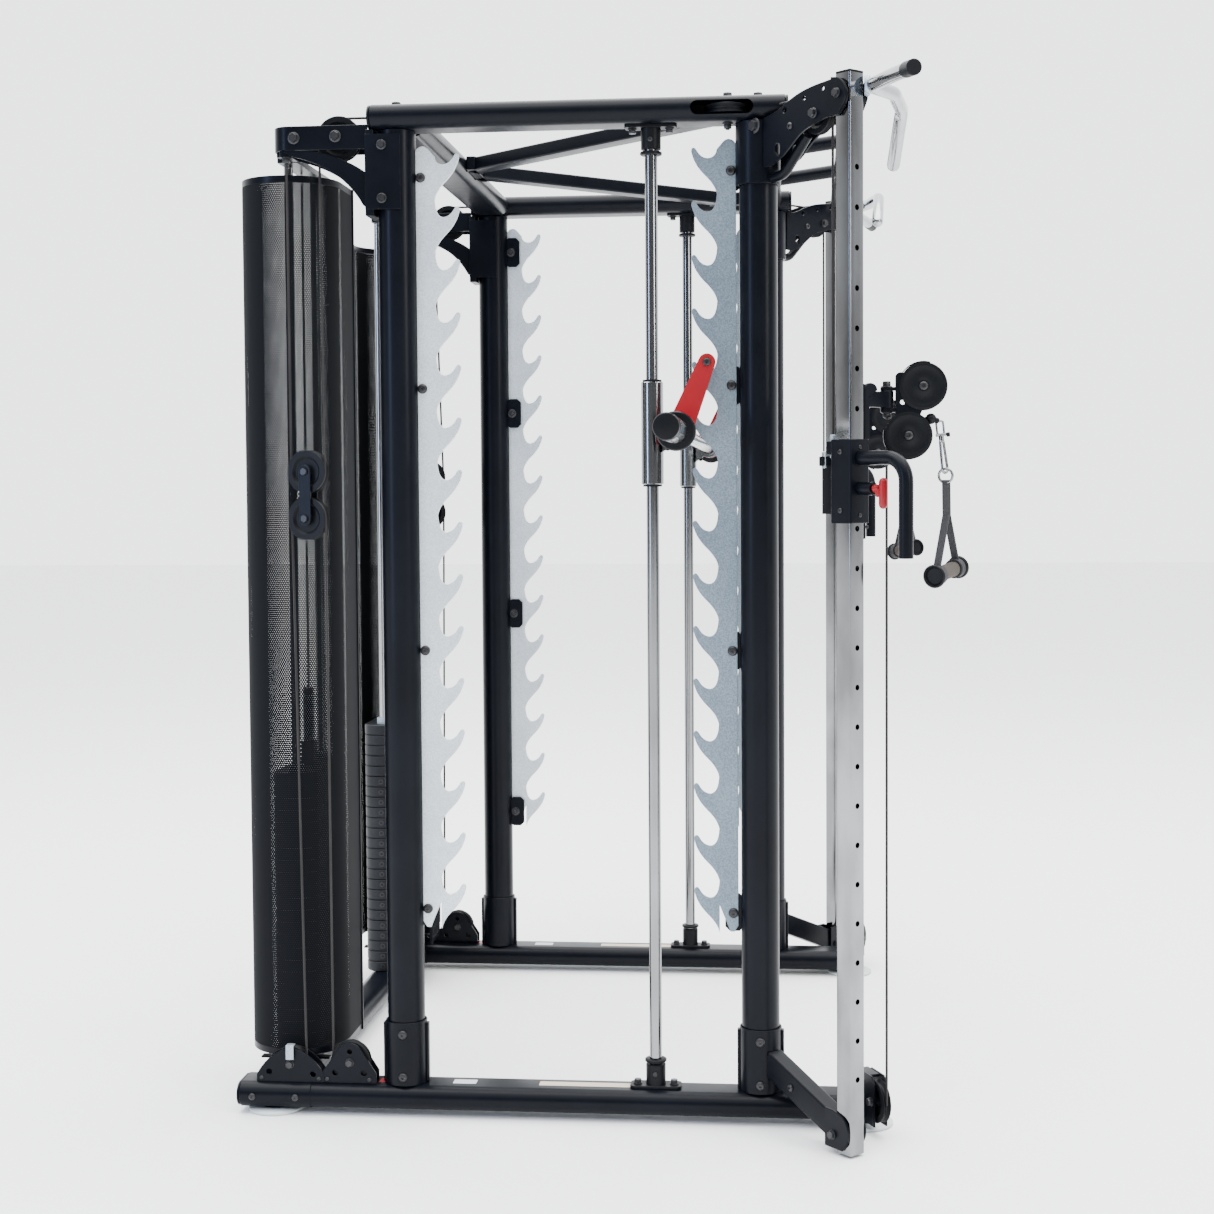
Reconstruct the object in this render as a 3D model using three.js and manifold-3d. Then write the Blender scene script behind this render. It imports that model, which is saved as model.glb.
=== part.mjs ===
// A rack and cable crossover machine: a four-column frame with hook plates, a guided bar on two rods,
// and on each side a cable post with a sliding carriage and a tower with its own weight stack.
// Millimetres, +Z up. The user stands in front, at -Y. The machine mirrors about the plane x = 0,
// so every side part is drawn for the left side (x below 0) and mirrored for the right.
// Depths are counted from the axis of the front columns, and the whole is shifted at the end.
import * as THREE from 'three';
import { mergeVertices } from 'three/addons/utils/BufferGeometryUtils.js';
import Module from 'manifold-3d';

const wasm = await Module();
wasm.setup();

// Driving dimensions
const gap = 0.3;              // clearance between pieces that touch
const sideX = 600;            // middle plane of each side frame
const columnRadius = 38;
const rearColumnY = 727;
const railWidth = 100;
const railHeight = 50;
const baseRail = { front: -215, back: 1074, z: 38 };
const topRail = { front: -60, back: 779, z: 2025 };
const baseTop = baseRail.z + railHeight / 2;
const topUnder = topRail.z - railHeight / 2;
const footHeight = baseRail.z - railHeight / 2;
const depthShift = -334.5;      // puts the origin under the middle of the whole machine

const post = { x: -793, y: -175, side: 38, wall: 3, bottom: 5, top: 2053 };
const postHoles = { count: 24, pitch: 75, first: 150, radius: 5.5 };
const postTurn = Math.PI / 4;
const hookPlate = { thickness: 7, top: 1968, bottom: 384, count: 15, pitch: 105.8, firstTip: 1952 };
const hookLugs = [1907, 1483, 952, 422];
const rod = { y: 213, radius: 12.5 };
const bar = { y: 158, z: 1389, shaft: 14.5, sleeve: 25, collar: 38.5, collarX: 735, end: 985 };
const slider = { radius: 22, bottom: 1287, top: 1491 };
const arm = { x: 640, width: 34, thickness: 9, pinY: 101, pinZ: 1527 };
const carriageSpan = { bottom: 1210, top: 1368 };
const pinZ = 1275;
const swivel = { x: -721, y: -247, bottom: 1180, top: 1500 };
const upperSwivelPulley = { y: -316, z: 1470 };
const lowerSwivelPulley = { y: -288, z: 1376 };
const pulley = { radius: 44.5, groove: 38, width: 18, bore: 5 };
const headPulley = { along: 178, z: 1990, radius: 40, groove: 34 };
const tower = { x: -492, y: 973, radius: 103, bottom: 108, top: 1920, inner: -395, wall: 3 };
const stack = { left: -560, right: -272, half: 47, bottom: 92, middle: 560, top: 690 };
const guideRods = { x: [-520, -312], radius: 9.5, top: 1950 };
const stem = { x: -416, radius: 11, top: 845 };
const band = { half: 35, thickness: 6, front: 780, centre: 942, bottom: 1962, top: 2010 };
const block = { x: -625, y: 912, upper: 1317, lower: 1222, turn: -0.3 };
const frontWheel = { along: [0.91, 0.41], reach: 38.3, z: 72, radius: 42, groove: 35, width: 17 };
const frontFoot = { x: -605, y: -208 };
const handle = { x: -721, y: -355, z: 1116, half: 65, radius: 13.5 };
const cableRadius = 2.5;

// Solids from three.js geometry, joined and cut

function solid(geometry) {
  const bare = geometry.index ? geometry.toNonIndexed() : geometry;
  bare.deleteAttribute('normal');
  bare.deleteAttribute('uv');
  const merged = mergeVertices(bare, 1e-4);
  const mesh = new wasm.Mesh({
    numProp: 3,
    vertProperties: new Float32Array(merged.attributes.position.array),
    triVerts: new Uint32Array(merged.index.array),
  });
  return new wasm.Manifold(mesh);
}

function join(pieces) {
  return pieces.reduce((whole, piece) => whole.add(piece));
}

function cut(whole, tools) {
  return tools.reduce((rest, tool) => rest.subtract(tool), whole);
}

function box(x0, x1, y0, y1, z0, z1) {
  const geometry = new THREE.BoxGeometry(x1 - x0, y1 - y0, z1 - z0);
  geometry.translate((x0 + x1) / 2, (y0 + y1) / 2, (z0 + z1) / 2);
  return solid(geometry);
}

// A round bar between two points
function rodBetween(from, to, radius, sides = 16) {
  const start = new THREE.Vector3(...from);
  const direction = new THREE.Vector3(...to).sub(start);
  const geometry = new THREE.CylinderGeometry(radius, radius, direction.length(), sides);
  const turn = new THREE.Quaternion();
  turn.setFromUnitVectors(new THREE.Vector3(0, 1, 0), direction.clone().normalize());
  geometry.applyQuaternion(turn);
  const middle = start.addScaledVector(direction, 0.5);
  geometry.translate(middle.x, middle.y, middle.z);
  return solid(geometry);
}

// A square bar between two points, its sides upright
function beamBetween(from, to, width, height) {
  const start = new THREE.Vector3(...from);
  const direction = new THREE.Vector3(...to).sub(start);
  const geometry = new THREE.BoxGeometry(width, height, direction.length());
  const turn = new THREE.Matrix4().lookAt(direction, new THREE.Vector3(), new THREE.Vector3(0, 0, 1));
  geometry.applyMatrix4(turn);
  const middle = start.addScaledVector(direction, 0.5);
  geometry.translate(middle.x, middle.y, middle.z);
  return solid(geometry);
}

function upright(x, y, z0, z1, radius, sides = 20) {
  return rodBetween([x, y, z0], [x, y, z1], radius, sides);
}

// An outline in the YZ plane, as thick as x0 to x1
function plateAcross(shape, x0, x1, curveSegments = 6) {
  const geometry = new THREE.ExtrudeGeometry(shape, { depth: x1 - x0, bevelEnabled: false, curveSegments });
  geometry.applyMatrix4(new THREE.Matrix4().set(0, 0, 1, x0, 1, 0, 0, 0, 0, 1, 0, 0, 0, 0, 0, 1));
  return solid(geometry);
}

// An outline in the XY plane, standing from z0 to z1
function plateFlat(shape, z0, z1, curveSegments = 8) {
  const geometry = new THREE.ExtrudeGeometry(shape, { depth: z1 - z0, bevelEnabled: false, curveSegments });
  geometry.translate(0, 0, z0);
  return solid(geometry);
}

// A width by height bar with half-round ends, in the plane of its first two axes
function obround(width, height) {
  const flat = width / 2 - height / 2;
  const shape = new THREE.Shape();
  shape.absarc(flat, 0, height / 2, -Math.PI / 2, Math.PI / 2, false);
  shape.absarc(-flat, 0, height / 2, Math.PI / 2, Math.PI * 1.5, false);
  return shape;
}

function obroundAlongY(x, z, y0, y1) {
  const options = { depth: y1 - y0, bevelEnabled: false, curveSegments: 6 };
  const geometry = new THREE.ExtrudeGeometry(obround(railWidth, railHeight), options);
  geometry.rotateX(Math.PI / 2);
  geometry.translate(x, y1, z);
  return solid(geometry);
}

function obroundAlongX(y, z, x0, x1, width) {
  const options = { depth: x1 - x0, bevelEnabled: false, curveSegments: 6 };
  const geometry = new THREE.ExtrudeGeometry(obround(width, railHeight), options);
  geometry.applyMatrix4(new THREE.Matrix4().set(0, 0, 1, x0, 1, 0, 0, y, 0, 1, 0, z, 0, 0, 0, 1));
  return solid(geometry);
}

// A path through corner points, each corner rounded
function roundedPath(points, round) {
  const path = new THREE.CurvePath();
  const corners = points.map((p) => new THREE.Vector3(...p));
  let last = corners[0];
  for (let i = 1; i < corners.length - 1; i += 1) {
    const before = corners[i].clone().lerp(corners[i - 1], round / corners[i].distanceTo(corners[i - 1]));
    const after = corners[i].clone().lerp(corners[i + 1], round / corners[i].distanceTo(corners[i + 1]));
    path.add(new THREE.LineCurve3(last, before));
    path.add(new THREE.QuadraticBezierCurve3(before, corners[i], after));
    last = after;
  }
  path.add(new THREE.LineCurve3(last, corners.at(-1)));
  return path;
}

function bentTube(points, round, radius, steps = 18, sides = 12) {
  const section = new THREE.Shape();
  section.absarc(0, 0, radius, 0, Math.PI * 2);
  const options = { steps, extrudePath: roundedPath(points, round), curveSegments: sides / 2 };
  return solid(new THREE.ExtrudeGeometry(section, options));
}

// A grooved wheel with its axle along Z, then turned and placed
function wheel(radius, groove, width, bore) {
  const half = width / 2;
  const profile = [
    [bore, -half], [radius, -half], [radius, -half + 3], [groove, -2], [groove, 2],
    [radius, half - 3], [radius, half], [bore, half], [bore, -half],
  ];
  const geometry = new THREE.LatheGeometry(profile.map((p) => new THREE.Vector2(...p)), 16);
  geometry.rotateX(Math.PI / 2);
  return geometry;
}

function wheelAcross(size, turn = 0) {
  const geometry = wheel(size.radius, size.groove, size.width, size.bore);
  geometry.rotateY(Math.PI / 2);
  geometry.rotateZ(turn);
  return solid(geometry);
}

function chamfered(width, height, corner) {
  const w = width / 2;
  const h = height / 2;
  return new THREE.Shape([
    [-w + corner, -h], [w - corner, -h], [w, -h + corner], [w, h - corner],
    [w - corner, h], [-w + corner, h], [-w, h - corner], [-w, -h + corner],
  ].map((p) => new THREE.Vector2(...p)));
}

// Materials

const blackPaint = { color: 0x1b1d22, roughness: 0.42, metalness: 0.3 };
const blackPlastic = { color: 0x131416, roughness: 0.6, metalness: 0 };
const chrome = { color: 0xd4d6d8, roughness: 0.14, metalness: 1 };
const zinc = { color: 0xaeb9c2, roughness: 0.45, metalness: 0.75 };
const redPaint = { color: 0xa02a32, roughness: 0.4, metalness: 0.1 };
const rubber = { color: 0x3b3532, roughness: 0.85, metalness: 0 };
const paleFoot = { color: 0xc9ced0, roughness: 0.6, metalness: 0 };
const mesh = { color: 0x1d2026, roughness: 0.55, metalness: 0.3 };
const castIron = { color: 0x202226, roughness: 0.7, metalness: 0.4 };

// The machine

const group = new THREE.Group();
group.position.y = depthShift;

function toGeometry(shape) {
  const made = shape.getMesh();
  const geometry = new THREE.BufferGeometry();
  geometry.setAttribute('position', new THREE.BufferAttribute(new Float32Array(made.vertProperties), 3));
  geometry.setIndex(new THREE.BufferAttribute(new Uint32Array(made.triVerts), 1));
  geometry.computeVertexNormals();
  return geometry;
}

function place(name, shape, look, at = [0, 0, 0]) {
  const piece = new THREE.Mesh(toGeometry(shape), new THREE.MeshStandardMaterial(look));
  piece.name = name;
  piece.position.set(...at);
  group.add(piece);
}

// The same piece on both sides: as drawn on the left, mirrored on the right
function placeBoth(name, shape, look, at = [0, 0, 0]) {
  place(`${name}_left`, shape, look, at);
  place(`${name}_right`, shape.mirror([1, 0, 0]), look, [-at[0], at[1], at[2]]);
}

// Base: rail, column sleeves and the brace that reaches out to the foot of the cable post

function columnSleeve(y, bottom, top) {
  const outer = upright(-sideX, y, bottom, top, columnRadius + 4.5, 20);
  const bore = upright(-sideX, y, baseTop, top + 1, columnRadius + 0.8, 20);
  return [outer, bore];
}

function postShell(grow, z0, z1) {
  const geometry = new THREE.BoxGeometry(post.side + grow, post.side + grow, z1 - z0);
  geometry.rotateZ(postTurn);
  geometry.translate(post.x, post.y, (z0 + z1) / 2);
  return solid(geometry);
}

function postClamp(z0, z1, grow) {
  const around = cut(postShell(grow, z0, z1), [postShell(2 * gap, z0 - 1, z1 + 1)]);
  const openFront = box(post.x - 60, post.x + 60, post.y - 70, post.y - 6, z0 - 1, z1 + 1);
  return cut(around, [openFront]);
}

// A wheel between two plates, standing on the rail: outline in the YZ plane, axle along X
function railPulley(outline, x, y, z, radius) {
  const shape = new THREE.Shape(outline.map((p) => new THREE.Vector2(...p)));
  const plates = [-16, 12].map((side) => plateAcross(shape, x + side, x + side + 4));
  const wheelBody = rodBetween([x - 9, y, z], [x + 9, y, z], radius, 20);
  const axle = rodBetween([x - 14, y, z], [x + 14, y, z], 8, 10);
  return [...plates, wheelBody, axle];
}

function floorPulleys() {
  const rear = [[894, 60], [1036, 60], [1036, 78], [1014, 118], [966, 130], [918, 118], [894, 80]];
  const middle = [[786, 60], [900, 60], [900, 84], [866, 132], [841, 146], [816, 132], [786, 84]];
  return [
    ...railPulley(rear, -613, 966, 100, 35),
    ...railPulley(middle, -612, 841, 106, 41),
    ...frontPulley(),
  ];
}

// The pulley at the foot of the post: its wheel turns the cable in toward the rail
function frontPulley() {
  const along = new THREE.Vector3(frontWheel.along[0], frontWheel.along[1], 0).normalize();
  const side = new THREE.Vector3(along.y, -along.x, 0);
  const basis = new THREE.Matrix4().makeBasis(along, new THREE.Vector3(0, 0, 1), side);
  basis.setPosition(swivel.x, swivel.y, 0);
  const point = (u, z, t) => new THREE.Vector3(u, z, t).applyMatrix4(basis).toArray();
  const cheekShape = new THREE.Shape([[26, 24], [118, 22], [118, 92], [92, 122], [38, 122], [26, 108]]
    .map((p) => new THREE.Vector2(...p)));
  const cheeks = [-15, 11].map((t) => {
    const geometry = new THREE.ExtrudeGeometry(cheekShape, { depth: 4, bevelEnabled: false });
    geometry.translate(0, 0, t);
    geometry.applyMatrix4(basis);
    return solid(geometry);
  });
  const { reach, z, width } = frontWheel;
  const disc = wheel(frontWheel.radius, frontWheel.groove, width, 0.01);
  disc.translate(reach, z, 0);
  disc.applyMatrix4(basis);
  const axle = rodBetween(point(reach, z, -14), point(reach, z, 14), 8, 10);
  const tie = beamBetween(point(100, 38, 0), [-sideX - 10, baseRail.front + 30, 38], 20, 24);
  return [...cheeks, solid(disc), axle, tie];
}

function baseRailShape() {
  const sleeves = [columnSleeve(0, 50, 193), columnSleeve(rearColumnY, 50, 193)];
  const brace = beamBetween([-622, -28, 122], [-773, -158, 48], 36, 48);
  const plate = postClamp(12, 84, 16);
  const rail = obroundAlongY(-sideX, baseRail.z, baseRail.front, baseRail.back);
  const joined = join([rail, brace, ...sleeves.map((s) => s[0]), plate, ...floorPulleys()]);
  return cut(joined, [...sleeves.map((s) => s[1]), postShell(2 * gap, 0, 130)]);
}

function footShape() {
  const profile = [[0, 0], [57, 0], [57, 5], [30, 9], [14, footHeight - gap], [0, footHeight - gap]];
  const geometry = new THREE.LatheGeometry(profile.map((p) => new THREE.Vector2(...p)), 20);
  geometry.rotateX(Math.PI / 2);
  return solid(geometry);
}

function topRailShape() {
  const rail = obroundAlongY(-sideX, topRail.z, topRail.front, topRail.back);
  const slot = box(-sideX - 60, -sideX + 8, 8, 132, topRail.z - 14, topRail.z + 14);
  return cut(rail, [slot]);
}

function hookLug(y, z) {
  const geometry = new THREE.ExtrudeGeometry(chamfered(38, 76, 9), { depth: 6, bevelEnabled: false });
  geometry.applyMatrix4(new THREE.Matrix4().set(0, 0, 1, 0, 1, 0, 0, y, 0, 1, 0, z, 0, 0, 0, 1));
  geometry.translate(-sideX + hookPlate.thickness / 2 + gap, 0, 0);
  return solid(geometry);
}

function columnShape(y, towardHooks) {
  const column = upright(-sideX, y, baseTop + gap, topUnder - gap, columnRadius, 20);
  const lugY = y + towardHooks * (columnRadius + 14);
  const lugs = hookLugs.map((z) => hookLug(lugY, z));
  return join([column, ...lugs]);
}

placeBoth('base_rail', baseRailShape(), blackPaint);
placeBoth('top_rail', topRailShape(), blackPaint);
placeBoth('front_column', columnShape(0, 1), blackPaint);
placeBoth('rear_column', columnShape(rearColumnY, -1), blackPaint);
placeBoth('front_foot', footShape(), paleFoot, [frontFoot.x, frontFoot.y, 0]);
placeBoth('rear_foot', footShape(), paleFoot, [-sideX, 1003, 0]);

// Cross beams

const betweenRails = sideX - railWidth / 2 - gap;
place('rear_base_beam', obroundAlongX(tower.y, baseRail.z, -betweenRails, betweenRails, 80), blackPaint);
place('rear_top_beam', obroundAlongX(rearColumnY, topRail.z, -betweenRails, betweenRails, 100), blackPaint);

function frontBeamShape() {
  const frontTubeY = post.y - 2;
  const frontTubeZ = 2036;
  const reach = 732;
  const beam = obroundAlongX(0, topRail.z, -betweenRails, betweenRails, 70);
  const frontTube = rodBetween([-reach, frontTubeY, frontTubeZ], [reach, frontTubeY, frontTubeZ], 15, 14);
  const arms = [-190, 190].map((x) => (
    rodBetween([x, 0, topRail.z - 8], [x, frontTubeY, frontTubeZ], 15, 14)
  ));
  return join([beam, frontTube, ...arms]);
}

function roofBraceShape() {
  const rearFace = rearColumnY - 50 - gap;
  const sides = [-1, 1].map((s) => (
    beamBetween([s * (betweenRails + 30), 60, topRail.z], [s * 30, rearFace + 30, topRail.z], 46, 30)
  ));
  const hub = box(-90, 90, rearFace - 24, rearFace, topRail.z - 15, topRail.z + 15);
  const behind = box(-700, 700, rearFace, rearFace + 200, topRail.z - 40, topRail.z + 40);
  const outside = [-1, 1].map((s) => {
    const x = [s * betweenRails, s * (betweenRails + 100)].sort((a, b) => a - b);
    return box(x[0], x[1], -100, 400, topRail.z - 40, topRail.z + 40);
  });
  return cut(join([...sides, hub]), [behind, ...outside]);
}

place('front_top_beam', frontBeamShape(), blackPaint);
place('roof_brace', roofBraceShape(), blackPaint);

// Hook plates: a comb of upturned hooks cut from flat plate

// One comb outline: u runs from the back edge toward the tips, z up
function hookOutline(backY, toward) {
  const at = (u, z) => [backY + toward * u, z];
  const shape = new THREE.Shape();
  shape.moveTo(...at(8, hookPlate.bottom));
  shape.lineTo(...at(0, hookPlate.bottom + 12));
  shape.lineTo(...at(0, hookPlate.top - 10));
  shape.quadraticCurveTo(...at(2, hookPlate.top), ...at(14, hookPlate.top + 2));
  shape.lineTo(...at(22, hookPlate.top));
  shape.lineTo(...at(38, hookPlate.firstTip + 2));
  for (let i = 0; i < hookPlate.count; i += 1) {
    const tip = hookPlate.firstTip - i * hookPlate.pitch;
    shape.quadraticCurveTo(...at(39, tip - 18), ...at(56, tip - 19));
    shape.quadraticCurveTo(...at(70, tip - 17), ...at(79, tip - 1));
    shape.quadraticCurveTo(...at(87, tip + 9), ...at(89, tip - 5));
    shape.quadraticCurveTo(...at(86, tip - 28), ...at(62, tip - 51));
    shape.quadraticCurveTo(...at(39, tip - 70), ...at(38, tip - 88));
  }
  shape.lineTo(...at(14, hookPlate.bottom));
  shape.closePath();
  return shape;
}

const plateFrom = -sideX - hookPlate.thickness / 2;
const plateTo = -sideX + hookPlate.thickness / 2;
placeBoth('front_hook_plate', plateAcross(hookOutline(44, 1), plateFrom, plateTo, 2), zinc);
placeBoth('rear_hook_plate', plateAcross(hookOutline(689, -1), plateFrom, plateTo, 2), zinc);

// Guided bar: rods with flanged sleeves, sliders, bar and catch arms

function rodShape() {
  const shaft = upright(-sideX, rod.y, baseTop + gap, topUnder - gap, rod.radius, 14);
  const ends = [[baseTop + gap, baseTop + 48], [topUnder - 48, topUnder - gap]];
  const sleeves = ends.map(([z0, z1]) => upright(-sideX, rod.y, z0, z1, 20, 14));
  const flanges = ends.map(([z0, z1]) => {
    const low = z0 < 1000 ? z0 : z1 - 6;
    return box(-sideX - 21, -sideX + 21, rod.y - 52, rod.y + 52, low, low + 6);
  });
  return join([shaft, ...sleeves, ...flanges]);
}

function sliderShape() {
  const body = upright(-sideX, rod.y, slider.bottom, slider.top, slider.radius, 16);
  const barBore = rodBetween([-700, bar.y, bar.z], [-500, bar.y, bar.z], bar.shaft + 1, 14);
  const clamp = rodBetween([-sideX - 20, bar.y, bar.z], [-sideX + 20, bar.y, bar.z], 27, 16);
  const neck = box(-sideX - 20, -sideX + 20, bar.y, rod.y, bar.z - 41, bar.z + 41);
  const rodBore = upright(-sideX, rod.y, slider.bottom - 1, slider.top + 1, rod.radius + 1, 14);
  return cut(join([body, clamp, neck]), [barBore, rodBore]);
}

function barShape() {
  const shaft = rodBetween([-bar.end, bar.y, bar.z], [bar.end, bar.y, bar.z], bar.shaft, 14);
  const parts = [-1, 1].flatMap((s) => [
    rodBetween([s * bar.collarX, bar.y, bar.z], [s * bar.end, bar.y, bar.z], bar.sleeve, 14),
    rodBetween([s * (bar.collarX - 28), bar.y, bar.z], [s * bar.collarX, bar.y, bar.z], bar.collar, 16),
    rodBetween([s * (bar.end - 1), bar.y, bar.z], [s * (bar.end + 8), bar.y, bar.z], 21, 14),
  ]);
  const leftArm = armShape();
  return join([shaft, ...parts, leftArm, leftArm.mirror([1, 0, 0])]);
}

// A flat arm and its pin, fixed on the bar; the pin stops just short of the hook plate
function armShape() {
  const drop = new THREE.Vector2(arm.pinY - bar.y, arm.pinZ - bar.z);
  const length = drop.length();
  const outline = new THREE.Shape();
  outline.absarc(0, 0, 27, Math.PI * 0.94, Math.PI * 2.06, false);
  outline.absarc(0, length, arm.width / 2, 0, Math.PI, false);
  const geometry = new THREE.ExtrudeGeometry(outline, {
    depth: arm.thickness, bevelEnabled: false, curveSegments: 6,
  });
  geometry.rotateZ(Math.atan2(drop.y, drop.x) - Math.PI / 2);
  geometry.applyMatrix4(new THREE.Matrix4().set(
    0, 0, 1, -arm.x - arm.thickness, 1, 0, 0, bar.y, 0, 1, 0, bar.z, 0, 0, 0, 1,
  ));
  const hub = rodBetween([-arm.x - 14, bar.y, bar.z], [-arm.x + 10, bar.y, bar.z], 24, 14);
  const pinEnd = -sideX - hookPlate.thickness / 2 - 3;
  const catchPin = rodBetween([-arm.x, arm.pinY, arm.pinZ], [pinEnd, arm.pinY, arm.pinZ], 8, 8);
  return join([solid(geometry), hub, catchPin]);
}

placeBoth('smith_rod', rodShape(), chrome);
placeBoth('smith_slider', sliderShape(), chrome);
place('smith_bar', barShape(), chrome);

// Cable post with its column of holes, turned a quarter so that one face looks outward and forward

const outward = new THREE.Vector3(-1, -1, 0).normalize();

function alongPost(distance, z) {
  return [post.x + outward.x * distance, post.y + outward.y * distance, z];
}

function postShape() {
  const shell = cut(postShell(0, post.bottom, post.top), [postShell(-2 * post.wall, 0, post.top + 10)]);
  const holes = Array.from({ length: postHoles.count }, (_, i) => {
    const z = postHoles.first + i * postHoles.pitch;
    return rodBetween(alongPost(post.side / 2 - 8, z), alongPost(post.side / 2 + 8, z), postHoles.radius, 6);
  });
  return cut(shell, holes);
}

placeBoth('cable_post', postShape(), chrome);

// Head bracket: two holed plates from the front column out to the head of the post

const bracketAngle = Math.atan2(post.y, post.x + sideX);
const bracketReach = Math.hypot(post.x + sideX, post.y);
const plateOffset = 20;
const plateEnd = bracketReach - 12;

// From the upright plane of the bracket (u away from the column, z up) to the machine
function bracketFrame(offset) {
  const c = Math.cos(bracketAngle);
  const s = Math.sin(bracketAngle);
  return new THREE.Matrix4().set(
    c, 0, s, -sideX + s * offset, s, 0, -c, -c * offset, 0, 1, 0, 0, 0, 0, 0, 1,
  );
}

function bracketPlate(offset) {
  const outline = new THREE.Shape();
  outline.moveTo(30, 1906);
  outline.lineTo(66, 1903);
  outline.lineTo(100, 1918);
  outline.lineTo(146, 1950);
  outline.quadraticCurveTo(164, 1959, 226, 1973);
  outline.lineTo(plateEnd, 1972);
  outline.lineTo(plateEnd, 2041);
  outline.quadraticCurveTo(176, 2040, 144, 2030);
  outline.lineTo(112, 2018);
  outline.quadraticCurveTo(94, 1999, 84, 1998);
  outline.lineTo(30, 1998);
  outline.closePath();
  const holes = [[84, 1934, 8], [114, 1996, 6], [123, 1972, 4]];
  for (const [u, z, r] of holes) {
    const hole = new THREE.Path();
    hole.absarc(u, z, r, 0, Math.PI * 2, true);
    outline.holes.push(hole);
  }
  const geometry = new THREE.ExtrudeGeometry(outline, { depth: 5, bevelEnabled: false, curveSegments: 4 });
  geometry.applyMatrix4(bracketFrame(offset));
  return solid(geometry);
}

function alongBracket(u, side, z) {
  const p = new THREE.Vector3(u, z, side).applyMatrix4(bracketFrame(0));
  return [p.x, p.y, p.z];
}

function headBracketShape() {
  const plates = [bracketPlate(plateOffset), bracketPlate(-plateOffset - 5)];
  const spacers = [[112, 1962], [headPulley.along, headPulley.z]].map(([u, z], i) => (
    rodBetween(alongBracket(u, -plateOffset - 4, z), alongBracket(u, plateOffset + 4, z), i ? 4.5 : 6, 8)
  ));
  const saddle = beamBetween(alongBracket(20, 0, 1951), alongBracket(52, 0, 1951), 50, 80);
  const brace = bentTube([
    alongBracket(30, 0, 1880), alongBracket(84, 0, 1884), alongBracket(122, 0, 1938),
  ], 34, 9, 8, 8);
  const bridge = beamBetween(alongBracket(108, 0, 1940), alongBracket(132, 0, 1940), 46, 10);
  const column = upright(-sideX, 0, 1800, topUnder, columnRadius + 0.8, 20);
  const inPost = postShell(2 * gap, 1900, 2100);
  return cut(join([...plates, ...spacers, saddle, brace, bridge]), [column, inPost]);
}

placeBoth('head_bracket', headBracketShape(), blackPaint);

function headPulleyShape() {
  const geometry = wheel(headPulley.radius, headPulley.groove, 16, 4.5 + gap);
  geometry.applyMatrix4(bracketFrame(0));
  const middle = alongBracket(headPulley.along, 0, headPulley.z);
  const made = solid(geometry).translate([sideX, 0, 0]);
  return [made, middle];
}

const [headWheel, headMiddle] = headPulleyShape();
placeBoth('head_pulley', headWheel, blackPlastic, headMiddle);

// Chin-up handle: a chrome tube clamped across the front of the post

function chinHandleShape() {
  const outer = [[post.x, -214, 2027], [-905, -252, 2022], [-1000, -281, 2015]];
  const inner = [[post.x, -214, 2027], [-700, -262, 2030], [-560, -284, 2026], [-400, -274, 1937]];
  const clamp = rodBetween([post.x, post.y - 12, 2027], [post.x, -226, 2027], 19, 18);
  const tubes = [bentTube(outer, 40, 13.5, 8, 10), bentTube(inner, 60, 13.5, 12, 10)];
  return cut(join([clamp, ...tubes]), [postShell(2 * gap, 1900, 2100)]);
}

placeBoth('chin_handle', chinHandleShape(), chrome);

// Carriage: a sleeve on the cable post with a bent handle and an arm that ends in the swivel's barrel

const inwardFront = new THREE.Vector3(1, -1, 0).normalize();
const barrel = { bottom: 1428, top: 1462, radius: 13, pin: 7 };
const swivelReach = Math.hypot(swivel.x - post.x, swivel.y - post.y);
const cableLugReach = 54.3;

function toSwivel(distance, z) {
  return [post.x + inwardFront.x * distance, post.y + inwardFront.y * distance, z];
}

// An upright plate standing on the post's inward and forward face, between two heights
function carriagePlate(from, to, z0, z1, thickness) {
  return beamBetween(toSwivel(from, (z0 + z1) / 2), toSwivel(to, (z0 + z1) / 2), thickness, z1 - z0);
}

function carriageShape() {
  const sleeve = postShell(14, carriageSpan.bottom, carriageSpan.top);
  const handleCorners = [alongPost(22, 1332), alongPost(140, 1332), alongPost(142, 1145)];
  const bentHandle = bentTube(handleCorners, 45, 13.5, 12, 10);
  const pinBoss = rodBetween(alongPost(20, pinZ), alongPost(60, pinZ), 12, 16);
  const backPlate = carriagePlate(22, 40, swivel.bottom, 1475, 30);
  const swivelArm = carriagePlate(38, swivelReach - 8, barrel.bottom, barrel.top, 14);
  const barrelBody = upright(swivel.x, swivel.y, barrel.bottom, barrel.top, barrel.radius, 20);
  const lug = beamBetween(alongPost(-24, 1353), alongPost(-cableLugReach, 1353), 16, 26);
  const tools = [
    postShell(2 * gap, 1100, 1500),
    rodBetween(alongPost(10, pinZ), alongPost(90, pinZ), 5 + gap, 12),
    upright(swivel.x, swivel.y, 1400, 1500, barrel.pin + gap, 16),
  ];
  return cut(join([sleeve, bentHandle, pinBoss, backPlate, swivelArm, barrelBody, lug]), tools);
}

function pullPinShape() {
  const shaft = rodBetween([0, 0, 0], [-46, -46, 0], 5, 12);
  const head = rodBetween([-44, -44, -26], [-44, -44, 26], 9, 14);
  return join([shaft, head]);
}

placeBoth('carriage', carriageShape(), blackPaint);
placeBoth('pull_pin', pullPinShape(), redPaint, alongPost(21, pinZ));

// Swivel: two cheek plates that hold the pulleys, turning on an upright pin in the carriage's barrel

const cheek = { offset: 10.5, thickness: 3, boss: 17, back: -17 };

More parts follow.
